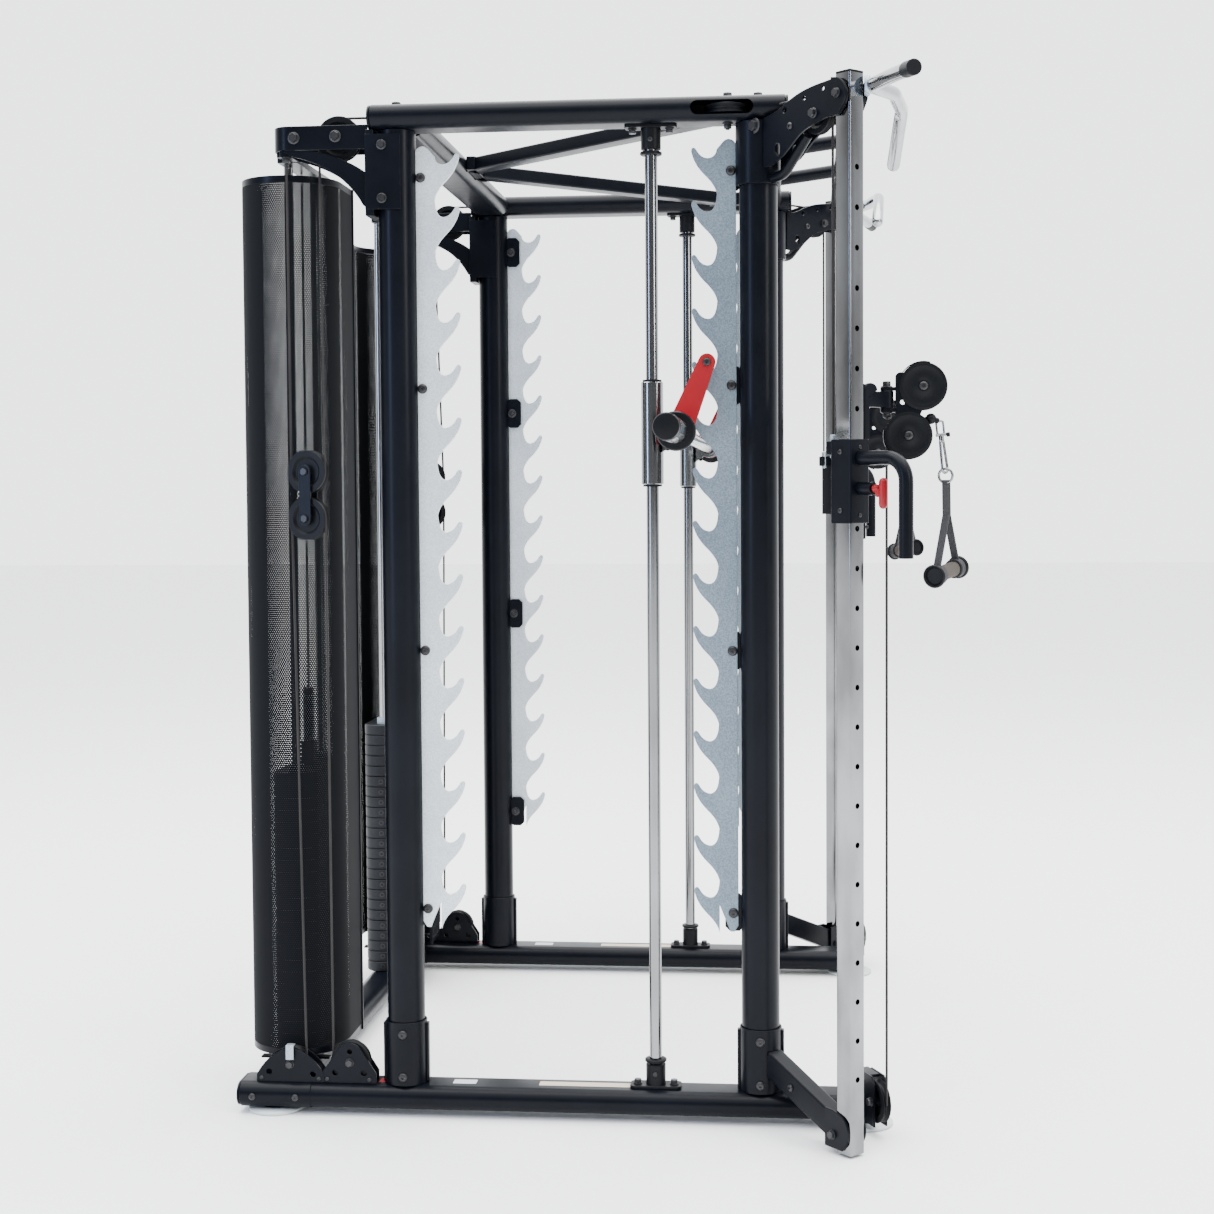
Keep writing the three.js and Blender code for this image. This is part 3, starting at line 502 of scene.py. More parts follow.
    def carve(self, *tools):
        """This shape with the tools cut away."""
        body = to_object(self, "carved", MM)
        others = [to_object(tool, "tool", MM) for tool in tools]
        for other in others:
            change = body.modifiers.new("cut", "BOOLEAN")
            change.operation = "DIFFERENCE"
            change.solver = "EXACT"
            change.object = other
        graph = bpy.context.evaluated_depsgraph_get()
        mesh = bpy.data.meshes.new_from_object(body.evaluated_get(graph))
        out = Shape()
        out.add([v.co / MM for v in mesh.vertices], [tuple(p.vertices) for p in mesh.polygons])
        for made in [body, *others]:
            bpy.data.objects.remove(made)
        return out


def rounded(corners, bend, steps=10):
    """The corner points joined by lines, with each corner turned on an arc of radius bend."""
    corners = [Vector(c) for c in corners]
    out = [corners[0]]
    for before, here, after in zip(corners, corners[1:], corners[2:]):
        a, b = (before - here).normalized(), (after - here).normalized()
        angle = a.angle(b)
        if not bend or angle > 3.1:
            out.append(here)
            continue
        most = 0.49 * min((before - here).length, (after - here).length)
        reach = min(bend / math.tan(angle / 2), most)
        radius = reach * math.tan(angle / 2)
        centre = here + (a + b).normalized() * (radius / math.sin(angle / 2))
        start = (here + a * reach - centre).normalized()
        end = (here + b * reach - centre).normalized()
        out += [centre + start.slerp(end, k / steps) * radius for k in range(steps + 1)]
    return out + [corners[-1]]


def to_object(shape, name, scale=None, mirror=False):
    """A Blender object from a shape: in the part's frame, or only scaled."""
    mesh = bpy.data.meshes.new(name)
    points = shape.points
    if mirror:
        points = [Vector((-p.x, p.y, p.z)) for p in points]
    if scale:
        points = [p * scale for p in points]
    else:
        points = [to_metres(p) for p in points]
    mesh.from_pydata(points, [], shape.faces)
    tidy = bmesh.new()
    tidy.from_mesh(mesh)
    bmesh.ops.recalc_face_normals(tidy, faces=tidy.faces)
    tidy.to_mesh(mesh)
    tidy.free()
    made = bpy.data.objects.new(name, mesh)
    bpy.context.scene.collection.objects.link(made)
    return made


def finished(made, slot, look=None, angle=38):
    made.data.shade_smooth()
    made.data.set_sharp_from_angle(angle=math.radians(angle))
    made.data.materials.append(look or LOOKS[slot])
    return made


def put(shape, name, slot, body="frame", replaced=(), look=None, sides=("left", "right"), blend=None,
        angle=38):
    """The piece on both sides, riding on its body; a {s} in a name becomes the side's name. Blend is
    (body, body, start, end) for a piece that runs between two bodies; only whether it is given is read,
    and such a piece is left on no body, with its transform baked in."""
    for s in sides:
        mirror = s == "right"
        made = finished(to_object(shape, f"{name}_{s}" if s else name, None, mirror), slot, look, angle)
        if blend:
            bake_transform(made)
        else:
            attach(made, body.format(s=s))
        if replaced:
            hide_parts(*[r.format(s=s) for r in replaced])


def put_once(shape, name, slot, body="frame", replaced=(), look=None, angle=38):
    put(shape, name, slot, body, replaced, look, ("",), None, angle)


def put_bolts(shape, name, body="frame"):
    put(shape, name, "black_frame", body, look=OXIDE)


# ---------------------------------------------------------------- columns, rails and beams

LUG_HEIGHTS = [1907, 1483, 952, 422]


def band_profile(inner, outer, low, high):
    """The closed profile of a plain ring."""
    return [(inner, low), (inner, high), (outer, high), (outer, low), (inner, low)]


def obround(width, height):
    return round_rect(width, height, height / 2 - 0.01, 12)


def column(y, toward):
    shape = Shape().rod(at(SIDE_X, y, RAIL_TOP + 0.4), at(SIDE_X, y, ROOF_UNDER - 0.4), COLUMN_R, 80)
    for z in LUG_HEIGHTS:
        outline = shifted(round_rect(38, 76, 9, 1), y + toward * (COLUMN_R + 14), z)
        shape.across(outline, SIDE_X + 3.8, SIDE_X + 9.8)
    return shape


put(column(0, 1), "column_front", "black_frame", replaced=["front_column_{s}"])
put(column(REAR_Y, -1), "column_rear", "black_frame", replaced=["rear_column_{s}"])

RAIL_FRONT, RAIL_BACK, END_SLEEVE = -215, 1074, 919
BRACKET = (POST - at(SIDE_X, 0, 0)).normalized()
BRACKET_SIDE = Vector((BRACKET.y, -BRACKET.x, 0))


def along_bracket(u, side, z):
    return at(SIDE_X, 0, z) + BRACKET * u + BRACKET_SIDE * side


def bracket_plate(shape, outline, side0, side1, holes=(), chamfer=0.6):
    """A plate drawn in (u away from the column, z), between two distances to the side."""
    m = on_axes(at(SIDE_X, 0, 0), BRACKET, UP, BRACKET_SIDE)
    return shape.slab(m, outline, side0, side1, holes, chamfer)


def rail(x, z, y0, y1, width=100, height=50):
    section = obround(width, height)
    return Shape().bar(at(x, y0, z), at(x, y1, z), section, X_AXIS, 1.2)


base = rail(SIDE_X, RAIL_Z, RAIL_FRONT + 6, RAIL_BACK - 8)
base.join(rail(SIDE_X, RAIL_Z, RAIL_FRONT, RAIL_FRONT + 5.5, 98, 48))
base.join(rail(SIDE_X, RAIL_Z, END_SLEEVE, RAIL_BACK - 6, 102.6, 52.6))
base.join(rail(SIDE_X, RAIL_Z, RAIL_BACK - 5.5, RAIL_BACK, 99, 49))
for y in (0, REAR_Y):
    sleeve = [(39.2, 64), (39.2, 192), (40, 193), (41.6, 193), (42.4, 192), (42.4, 64), (39.2, 64)]
    base.lathe(at(SIDE_X, y, 0), UP, sleeve, 80)
    for sign in (-1, 1):
        y0, y1 = sorted((y + sign * 41, y + sign * 47))
        base.block(SIDE_X - 8, SIDE_X + 8, y0, y1, 64, 186, 2)
put(base, "base_rail_body", "black_frame", replaced=["base_rail_{s}"])

lower_brace = Shape()
lower_brace.bar(along_bracket(34, 0, 128), along_bracket(224, 0, 50), round_rect(50, 36, 4), UP, 1)
for side in (-24.2, 19.4):
    foot_plate = [(214, 12), (262, 12)] + arc(244, 46, 36, -52, 62, 14) + [(236, 86), (214, 86)]
    bracket_plate(lower_brace, foot_plate, side, side + 4.8, (), 0.8)
put(lower_brace, "lower_brace", "black_frame")

base_bolts = Shape()
for side, sign in ((-24.6, -1), (24.6, 1)):
    base_bolts.hex_bolt(along_bracket(236, side, 38), BRACKET_SIDE * sign, 14, 6, 9)
base_bolts.button(along_bracket(110, 18.4, 96), BRACKET_SIDE, 7, 4)
for y in (0, REAR_Y):
    for z in (82, 170):
        base_bolts.button(at(SIDE_X - 42, y, z), -X_AXIS, 9, 5)
for y in (950, 1040):
    base_bolts.button(at(SIDE_X - 51.4, y, RAIL_Z), -X_AXIS, 7, 3.5)
put_bolts(base_bolts, "base_bolts")

SLOT_FRONT, SLOT_BACK = 8, 132
SLOT_MIDDLE = (SLOT_FRONT + SLOT_BACK) / 2
roof_rail = rail(SIDE_X, ROOF_Z, -54, 773)
slot_outline = shifted(round_rect(SLOT_BACK - SLOT_FRONT, 28, 13.9, 8), SLOT_MIDDLE, ROOF_Z)
slot = Shape().across(slot_outline, SIDE_X - 60, SIDE_X - 8)
cavity = shifted(round_rect(132, 40, 8, 3), SLOT_MIDDLE, ROOF_Z)
inside = Shape().across(cavity, SIDE_X - 35, SIDE_X + 35)
roof_rail = roof_rail.carve(slot, inside)
roof_rail.join(rail(SIDE_X, ROOF_Z, -60, -54.4, 98, 48))
roof_rail.join(rail(SIDE_X, ROOF_Z, 773.4, 779, 98, 48))
put(roof_rail, "top_rail_body", "black_frame", replaced=["top_rail_{s}"])

roof_pulley = Shape().wheel(at(SIDE_X - 2, 60, ROOF_Z), UP, 46, 40, 18)
put(roof_pulley, "roof_pulley", "black_plastic")
roof_bolts = Shape()
roof_bolts.hex_bolt(at(SIDE_X - 2, 60, ROOF_Z + 25), UP, 17, 8, 12)
roof_bolts.nut(at(SIDE_X - 2, 60, ROOF_Z - 25), -UP, 15, 8, 11, 3)
for y in (0, REAR_Y):
    roof_bolts.hex_bolt(at(SIDE_X, y, ROOF_Z + 25), UP, 17, 7, 12)
put_bolts(roof_bolts, "roof_bolts")


def cross_beam(y, z, width, reach=549.4):
    return Shape().bar(at(-reach, y, z), at(reach, y, z), obround(width, 50), Y_AXIS, 0.8)


put_once(cross_beam(973, RAIL_Z, 80), "base_cross_beam", "black_frame", replaced=["rear_base_beam"])
put_once(cross_beam(REAR_Y, ROOF_Z, 100), "rear_cross_beam", "black_frame", replaced=["rear_top_beam"])

FRONT_TUBE = at(732, -177, 2036)
front_beam = cross_beam(0, ROOF_Z, 70)
front_beam.tube([at(-FRONT_TUBE.x, FRONT_TUBE.y, FRONT_TUBE.z), FRONT_TUBE], 15, sides=36)
for x in (-190, 190):
    front_beam.tube([at(x, -30, ROOF_Z - 8), at(x, FRONT_TUBE.y, FRONT_TUBE.z)], 15, sides=36)
put_once(front_beam, "pull_up_beam", "black_frame", replaced=["front_top_beam"])

brace_hub_y = REAR_Y - 50
roof_brace = Shape()
for x in (-1, 1):
    start = at(x * 549, 90, ROOF_Z)
    roof_brace.bar(start, at(x * 40, brace_hub_y - 8, ROOF_Z), round_rect(30, 46, 4), UP, 1)
    roof_brace.block(min(x * 549, x * 520), max(x * 549, x * 520), 60, 150, ROOF_Z - 15, ROOF_Z + 15, 4)
roof_brace.block(-88, 88, brace_hub_y - 22, brace_hub_y - 0.5, ROOF_Z - 15, ROOF_Z + 15, 4)
put_once(roof_brace, "roof_brace_body", "black_frame", replaced=["roof_brace"])

foot_low, foot_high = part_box("front_foot_left")
foot_middle = (foot_low + foot_high) / 2
FRONT_FOOT = at(foot_middle.x / MM, (foot_middle.y - DEPTH_SHIFT) / MM, 0)
REAR_FOOT = at(SIDE_X, 1003, 0)
for name, place in (("front", FRONT_FOOT), ("rear", REAR_FOOT)):
    disc = Shape().lathe(place, UP, [(55, 0), (57, 1.2), (57, 5), (54, 7), (34, 8.2)], 64)
    put(disc, f"{name}_foot_disc", "foot", replaced=[f"{name}_foot_{{s}}"])
    stem = Shape().lathe(place + UP * 8.3, UP, [(29, 0), (22, 2.2), (14, 4.1)], 40)
    put(stem, f"{name}_foot_stem", "black_plastic")

LABEL_TOP = RAIL_TOP + 0.5
for name, slot, look, x0, x1, y0, y1, r in (
    ("rail_label_tan", "label", None, -12, 14, 262, 452, 2),
    ("rail_label_pale", "label", PALE_LABEL, -12, 14, 582, 630, 2),
    ("rail_mark", "red_paint", None, -16, 12, 771, 783, 1),
):
    label = Shape().block(SIDE_X + x0, SIDE_X + x1, y0, y1, RAIL_TOP, LABEL_TOP, r, 0.2)
    put(label, name, slot, look=look)

# ---------------------------------------------------------------- hook plates

HOOK_TOP, HOOK_BOTTOM, HOOK_PITCH, HOOK_COUNT, FIRST_TIP = 1968, 384, 105.8, 15, 1952


def hook_outline(back_y, toward):
    corners = [(8, HOOK_BOTTOM), (0, HOOK_BOTTOM + 12), (0, HOOK_TOP - 10), (2, HOOK_TOP, 14, HOOK_TOP + 2),
               (20, HOOK_TOP + 2, 26, HOOK_TOP - 4), (38, FIRST_TIP - 2)]
    for i in range(HOOK_COUNT):
        tip = FIRST_TIP - i * HOOK_PITCH
        corners += [(40, tip - 18, 56, tip - 19), (70, tip - 18, 78, tip - 3), (83, tip + 5, 87, tip + 1),
                    (90, tip - 3, 87.5, tip - 10), (82, tip - 32, 62, tip - 52), (41, tip - 72, 38, tip - 90)]
    corners += [(38, HOOK_BOTTOM + 54), (16, HOOK_BOTTOM)]
    return [(back_y + toward * u, z) for u, z in smooth_line(corners, 7)]


for name, back_y, toward in (("front", 44, 1), ("rear", 689, -1)):
    plate = Shape().across(hook_outline(back_y, toward), SIDE_X - 3.5, SIDE_X + 3.5, (), 0.7)
    # The front plate gets the zinc with painted shade, the rear plate the zinc with painted light.
    put(plate, f"{name}_hooks", "zinc_plate", replaced=[f"{name}_hook_plate_{{s}}"],
        look=ZINC_PAINTED_LIGHT if name == "rear" else ZINC_PAINTED_SHADE, angle=30)
    bolts = Shape()
    for z in LUG_HEIGHTS:
        bolts.button(at(SIDE_X - 3.6, back_y + toward * 10, z), -X_AXIS, 10, 5.5)
        bolts.nut(at(SIDE_X + 10, back_y + toward * 10, z), X_AXIS, 15, 8, 11, 3)
    put_bolts(bolts, f"{name}_hook_bolts")

# ---------------------------------------------------------------- guided bar

ROD_Y, ROD_R = 213, 12.5
BAR_Y, BAR_Z = 158, 1389
SLIDER_BOTTOM, SLIDER_TOP = 1287, 1491

rod = Shape().rod(at(SIDE_X, ROD_Y, RAIL_TOP + 1), at(SIDE_X, ROD_Y, ROOF_UNDER - 1), ROD_R, 48)
put(rod, "guide_rod", "chrome", replaced=["smith_rod_{s}"], look=ROD_CHROME)
rod_ends, rod_bolts = Shape(), Shape()
for z, up in ((RAIL_TOP, 1), (ROOF_UNDER, -1)):
    axis = UP * up
    foot = at(SIDE_X, ROD_Y, z)
    flange = shifted(round_rect(42, 104, 10), SIDE_X, ROD_Y)
    rod_ends.flat(flange, min(z, z + up * 6) + 0.2, max(z, z + up * 6) + 0.2, (), 0.8)
    collar = [(13, 6.5), (13, 47), (14, 48), (19, 48), (20, 47), (20, 6.5), (13, 6.5)]
    rod_ends.lathe(foot, axis, collar, 48)
    rod_ends.lathe(foot, axis, [(13, 52), (13, 59), (20, 59), (22, 57.5), (22, 53.5), (20, 52), (13, 52)], 48)
    rod_bolts.button(foot + axis * 30 - X_AXIS * 20, -X_AXIS, 5, 3)
    for dy in (-37, 37):
        rod_bolts.hex_bolt(foot + axis * 6.4 + Y_AXIS * dy, axis, 14, 7, 9)
put(rod_ends, "rod_end_sleeves", "black_plastic")
put_bolts(rod_bolts, "rod_end_bolts")

slider = Shape()
slider.lathe(at(SIDE_X, ROD_Y, 0), UP, [(13.4, SLIDER_BOTTOM + 2), (13.4, SLIDER_TOP - 2), (15, SLIDER_TOP),
             (20.6, SLIDER_TOP), (22, SLIDER_TOP - 1.4), (22, SLIDER_BOTTOM + 1.4), (20.6, SLIDER_BOTTOM),
             (15, SLIDER_BOTTOM), (13.4, SLIDER_BOTTOM + 2)], 64)
clamp = shifted(arc(0, 0, 27, 60, 300, 30), BAR_Y, BAR_Z)
clamp += [(ROD_Y - 20.5, BAR_Z - 38), (ROD_Y - 20.5, BAR_Z + 38)]
slider.across(clamp, SIDE_X - 19, SIDE_X + 19, [circle(BAR_Y, BAR_Z, 15.6, 40)], 1.5)
put(slider, "slider_body", "chrome", "smith_slide", ["smith_slider_{s}"], look=ROD_CHROME)
slider_bolts = Shape()
for z in (BAR_Z - 30, BAR_Z + 30):
    slider_bolts.button(at(SIDE_X - 19.2, ROD_Y - 32, z), -X_AXIS, 5.5, 4)
for z in (SLIDER_BOTTOM - 5, SLIDER_TOP):
    slider_bolts.lathe(at(SIDE_X, ROD_Y, z), UP, band_profile(13.6, 19, 0.4, 4.6), 48)
put(slider_bolts, "slider_seals", "black_plastic", "smith_slide")

bar = Shape().rod(at(-734, BAR_Y, BAR_Z), at(734, BAR_Y, BAR_Z), 14.5, 56)
for x in (-1, 1):
    axis = X_AXIS * x
    start = at(0, BAR_Y, BAR_Z)
    bar.lathe(start, axis, [(25, 736), (25, 983), (23, 985)], 64)
put_once(bar, "bar_shaft", "chrome", "smith_bar", ["smith_bar"])
bar_ends = Shape()
collar = [(26, 704), (33, 706), (38.5, 711), (38.5, 731), (36, 735.5), (25.5, 735.8)]
for x in (-1, 1):
    axis = X_AXIS * x
    start = at(0, BAR_Y, BAR_Z)
    bar_ends.lathe(start, axis, collar, 72)
    bar_ends.lathe(start, axis, [(24.5, 985.3), (25, 987), (23.5, 990.5), (12, 992.5)], 56)
    bar_ends.lathe(start, axis, [(25.4, 966), (25.9, 967), (25.9, 979), (25.4, 980)], 56)
put_once(bar_ends, "bar_collars", "black_plastic", "smith_bar")
knurl = Shape()
for x0, x1 in ((-520, -160), (160, 520)):
    knurl.rod(at(x0, BAR_Y, BAR_Z), at(x1, BAR_Y, BAR_Z), 14.75, 56, 0.3)
put_once(knurl, "bar_knurling", "chrome", "smith_bar", look=chrome_look("knurled_chrome", 0.4))

ARM_X, ARM_THICK = 640, 9
ARM_PIN = at(0, 101, 1527)
drop = (ARM_PIN.y - BAR_Y, ARM_PIN.z - BAR_Z)
reach, lean = math.hypot(*drop), math.degrees(math.atan2(drop[1], drop[0]))
tip = (reach * math.cos(math.radians(lean)), reach * math.sin(math.radians(lean)))
catch = arc(0, 0, 27, lean + 94, lean + 266, 26) + arc(*tip, 17, lean - 84, lean + 84, 16)
bar_hole = circle(BAR_Y, BAR_Z, 15.2, 40)
arm = Shape().across(shifted(catch, BAR_Y, BAR_Z), -ARM_X - ARM_THICK, -ARM_X, [bar_hole], 1.5)
boss = [(15.2, 0.2), (15.2, 10), (22.5, 10), (24, 8.5), (24, 0.2), (15.2, 0.2)]
arm.lathe(at(-ARM_X, BAR_Y, BAR_Z), X_AXIS, boss, 48)
put(arm, "catch_arm", "red_paint", "smith_bar")
pin = Shape()
pin.rod(at(-ARM_X + 0.3, ARM_PIN.y, ARM_PIN.z), at(SIDE_X - 6.7, ARM_PIN.y, ARM_PIN.z), 8, 32)
pin.button(at(-ARM_X - ARM_THICK - 0.2, ARM_PIN.y, ARM_PIN.z), -X_AXIS, 8, 4)
put_bolts(pin, "catch_pin", "smith_bar")

# ---------------------------------------------------------------- cable post

POST_SIDE, POST_BOTTOM, POST_TOP = 38, 5, 2053
HOLE_FIRST, HOLE_PITCH, HOLE_COUNT, HOLE_R = 150, 75, 24, 5.5


def along_post(distance, z, side=0.0):
    return POST + OUTWARD * distance + INWARD_FRONT * side + UP * z


def post_slab(shape, outline, z0, z1, holes=(), chamfer=0.6):
    """A flat plate drawn across the post: first axis toward the outside front, second along the face."""
    m = on_axes(POST, OUTWARD, INWARD_FRONT, UP)
    if m.determinant() < 0:
        outline = list(reversed(outline))
    return shape.slab(m, outline, z0, z1, holes, chamfer)


post = post_slab(Shape(), round_rect(POST_SIDE, POST_SIDE, 3.2, 6), POST_BOTTOM, POST_TOP - 3,
                 [round_rect(32, 32, 1.5, 3)], 0.4)
drills = Shape()
for i in range(HOLE_COUNT):
    z = HOLE_FIRST + i * HOLE_PITCH
    drills.rod(along_post(12, z), along_post(24, z), HOLE_R, 24, 0)
post = post.carve(drills)
put(post, "post_tube", "chrome", replaced=["cable_post_{s}"], look=POST_CHROME, angle=30)
cap = post_slab(Shape(), round_rect(POST_SIDE, POST_SIDE, 3.2, 6), POST_TOP - 2.8, POST_TOP + 1)
put(cap, "post_cap", "black_plastic")

# ---------------------------------------------------------------- head bracket and chin-up handle

PLATE_SIDE = 20
head_outline = smooth_line([
    (43, 1905), (66, 1903), (100, 1918), (112, 1926, 128, 1938), (146, 1952, 164, 1959),
    (196, 1968, 226, 1973), (255, 1972), (266, 1976, 273, 1988),
    (280, 1998, 280, 2008), (278, 2026, 262, 2037), (244, 2042),
    (216, 2040), (176, 2038, 144, 2030), (110, 2020, 96, 2012), (70, 2002, 44, 2000),
])
window = smooth_line([(88, 1920), (92, 1922, 92, 1930), (92, 1938), (92, 1946, 85, 1946),
                      (78, 1946, 78, 1938), (78, 1930)], 5)
head_holes = [circle(106, 2005, 6, 20), circle(162, 2019, 4.5, 20), circle(214, 2028, 4, 20),
              circle(123, 1972, 3.4, 16), window]
bracket = Shape()
for side in (-PLATE_SIDE - 5, PLATE_SIDE):
    bracket_plate(bracket, head_outline, side, side + 5, head_holes, 0.7)
gusset_line = [along_bracket(30, 0, 1884), along_bracket(78, 0, 1889), along_bracket(146, 0, 1954)]
bracket.tube(gusset_line, 10, 40, 24)
bracket.bar(along_bracket(42, 0, 1978), along_bracket(54, 0, 1978), round_rect(34, 39, 3), UP)
bracket.rod(along_bracket(123, -19.8, 1972), along_bracket(123, 19.8, 1972), 7, 24)
ring = [(38.4, 1876), (38.4, 1999), (44, 1999), (45, 1998), (45, 1877), (44, 1876), (38.4, 1876)]
bracket.lathe(at(SIDE_X, 0, 0), UP, ring, 80)
put(bracket, "head_bracket_plates", "black_frame", replaced=["head_bracket_{s}"])
cover = smooth_line([(236, 1974), (258, 1972), (272, 1984, 280, 2004), (282, 2030, 258, 2041),
                     (240, 2044)], 8)
covers = Shape()
for side in (-29.5, 25.4):
    bracket_plate(covers, cover, side, side + 4, (), 0.8)
put(covers, "head_bracket_covers", "black_frame")
bracket_bolts = Shape()
for sign in (-1, 1):
    outer = sign * (PLATE_SIDE + 5.2)
    bracket_bolts.hex_bolt(along_bracket(189, outer, 1986), BRACKET_SIDE * sign, 15, 7, 10)
    bracket_bolts.hex_bolt(along_bracket(257, outer + sign * 4.2, 2012), BRACKET_SIDE * sign, 14, 6, 9)
    bracket_bolts.button(along_bracket(123, outer, 1972), BRACKET_SIDE * sign, 7, 4)
bracket_bolts.hex_bolt(along_bracket(30, 34, 1986), BRACKET_SIDE, 19, 8, 15)
put_bolts(bracket_bolts, "head_bracket_bolts")

HEAD_U, HEAD_Z = 178, 1990
head_wheel = Shape().wheel(along_bracket(HEAD_U, 0, HEAD_Z), BRACKET_SIDE, 40, 34, 16)
put(head_wheel, "head_wheel", "black_plastic", "head_pulley_{s}", ["head_pulley_{s}"])
wheel_spacers = Shape()
for sign in (-1, 1):
    near, far = (along_bracket(HEAD_U, sign * side, HEAD_Z) for side in (9.4, 19.7))
    wheel_spacers.rod(near, far, 9, 24)
put(wheel_spacers, "head_wheel_spacers", "zinc_plate")

CHIN_Z = 2027
chin_outer = [POST + at(0, -39, CHIN_Z), at(-905, -252, 2022), at(-962, -271, 2017.5)]
chin_inner = [POST + at(0, -39, CHIN_Z), at(-700, -262, 2030), at(-560, -284, 2026), at(-400, -274, 1937)]
chin = Shape()
chin.tube(chin_outer, 13.5, 60, 36, "none")
chin.tube(chin_inner, 13.5, 70, 36, "dome")
put(chin, "chin_handle_tube", "chrome", replaced=["chin_handle_{s}"])
chin_cap = Shape().tube([at(-962.4, -271.1, 2017.5), at(-1000, -283, 2014)], 14.6, 0, 36, "flat")
put(chin_cap, "chin_handle_cap", "black_plastic")
chin_mount = Shape()
mount_profile = [(8, 0), (18, 0.5), (19.5, 3), (19.5, 9), (17, 11)]
chin_mount.lathe(at(POST.x, POST.y - 27.5, CHIN_Z), -Y_AXIS, mount_profile, 40)
put(chin_mount, "chin_handle_mount", "zinc_plate")

# ---------------------------------------------------------------- carriage, pull pin and swivel

CARRIAGE_BOTTOM, CARRIAGE_TOP = 1210, 1368
PIN_Z = 1275
SWIVEL = at(-721, -247, 0)
BARREL_BOTTOM, BARREL_TOP = 1428, 1462
UPPER = at(-721, -316, 1470)
LOWER = at(-721, -288, 1376)
TO_SWIVEL = (SWIVEL - POST).length


def to_swivel(distance, z, side=0.0):
    return POST + INWARD_FRONT * distance + OUTWARD * side + UP * z


carriage = post_slab(Shape(), round_rect(52, 52, 4, 5), CARRIAGE_BOTTOM, CARRIAGE_TOP,
                     [round_rect(39.4, 39.4, 2.5, 4)], 1.2)
carriage.tube([along_post(26.2, 1332), along_post(141, 1332), along_post(141, 1146)], 13.5, 45, 36, "flat")
pin_sleeve = [(7, 0), (12.5, 0), (12.5, 34), (11.5, 35), (7, 35), (7, 0)]
carriage.lathe(along_post(26, PIN_Z), OUTWARD, pin_sleeve, 40)
carriage.bar(to_swivel(26, 1180), to_swivel(26, 1472), round_rect(7, 28, 2), INWARD_FRONT)
for side in (-14, 8):
    rib = smooth_line([(24, 1368), (40, 1368), (40, 1440), (40, 1452, 52, 1456), (62, 1462),
                       (60, 1474, 44, 1475), (30, 1475, 24, 1462)], 5)
    m = on_axes(POST, INWARD_FRONT, UP, OUTWARD)
    carriage.slab(m, rib, side, side + 6, [circle(44, 1447, 4, 16)] if side > 0 else (), 0.8)
carriage.bar(to_swivel(38, 1445), to_swivel(TO_SWIVEL - 10, 1445), round_rect(30, 14, 2), UP)
carriage.lathe(SWIVEL, UP, [(7.4, BARREL_BOTTOM), (7.4, BARREL_TOP), (12, BARREL_TOP), (13, BARREL_TOP - 1),
                            (13, BARREL_BOTTOM + 1), (12, BARREL_BOTTOM), (7.4, BARREL_BOTTOM)], 40)
carriage.bar(along_post(-26, 1353), along_post(-54, 1353), round_rect(26, 16, 3), UP)
put(carriage, "carriage_body", "black_frame", "carriage_{s}", ["carriage_{s}"])

carriage_bolts = Shape()
for z in (1234, 1344):
    carriage_bolts.button(to_swivel(-26.2, z), -INWARD_FRONT, 5, 2.5)
carriage_bolts.button(along_post(132, 1173) + OUTWARD * -4.6, -OUTWARD, 6, 5)
for z in (1225, 1353):
    carriage_bolts.button(along_post(26.2, z), OUTWARD, 4, 2)
put_bolts(carriage_bolts, "carriage_bolts", "carriage_{s}")
cable_end = Shape()
cable_end.rod(along_bracket(215, 0, 1334), along_bracket(215, 0, 1378), 6, 24)
put(cable_end, "cable_end_fitting", "zinc_plate", "carriage_{s}")

pull = Shape()
pull.rod(along_post(21, PIN_Z), along_post(66, PIN_Z), 5.4, 28)
pull.rod(along_post(61, PIN_Z), along_post(76, PIN_Z), 7.5, 28, 2)
pull.tube([along_post(85, PIN_Z - 38), along_post(85, PIN_Z + 20)], 8.5, 0, 32, "dome")
pull.bar(along_post(70, PIN_Z - 8), along_post(84, PIN_Z - 8), round_rect(16, 12, 4), UP)
put(pull, "pull_knob", "red_paint", "pull_pin_{s}", ["pull_pin_{s}"])

CHEEK, CHEEK_THICK = 10.5, 3
swivel = Shape()
for x0 in (-CHEEK - CHEEK_THICK, CHEEK):
    outline = smooth_line([
        (-17, 1421), (-17, 1490), (-18, 1496, -26, 1497), (-40, 1493), (-69, 1497), (-78, 1504, -90, 1488),
        (-96, 1470, -88, 1452), (-68, 1434, -62, 1410), (-62, 1390), (-62, 1356, -41, 1352),
        (-18, 1352, -14, 1384), (-14, 1400, -17, 1421),
    ], 6)[:-1]
    hole = shifted(circle(-30, 1440, 5, 20), SWIVEL.y, 0)
    left_face = SWIVEL.x + x0
    swivel.across(shifted(outline, SWIVEL.y, 0), left_face, left_face + CHEEK_THICK, [hole], 0.7)
for z0, z1 in ((BARREL_BOTTOM - 7, BARREL_BOTTOM - 0.4), (BARREL_TOP + 0.4, BARREL_TOP + 7)):
    swivel.block(SWIVEL.x - CHEEK, SWIVEL.x + CHEEK, SWIVEL.y - 23, SWIVEL.y + 12, z0, z1, 6)
swivel.lathe(SWIVEL, UP, [(6.8, BARREL_BOTTOM - 12), (6.8, BARREL_TOP + 12)], 32)
put(swivel, "swivel_cheeks", "black_frame", "swivel_{s}", ["swivel_arm_{s}"])
swivel_bolts = Shape()
swivel_bolts.hex_bolt(SWIVEL + UP * (BARREL_TOP + 7.2), UP, 15, 9, 11)
swivel_bolts.nut(SWIVEL + UP * (BARREL_BOTTOM - 7.2), -UP, 14, 8, 10, 3)
for centre in (UPPER, LOWER):
    for sign in (-1, 1):
        swivel_bolts.button(centre + X_AXIS * sign * (CHEEK + CHEEK_THICK + 6.2), X_AXIS * sign, 8.5, 4)
put_bolts(swivel_bolts, "swivel_bolts", "swivel_{s}")

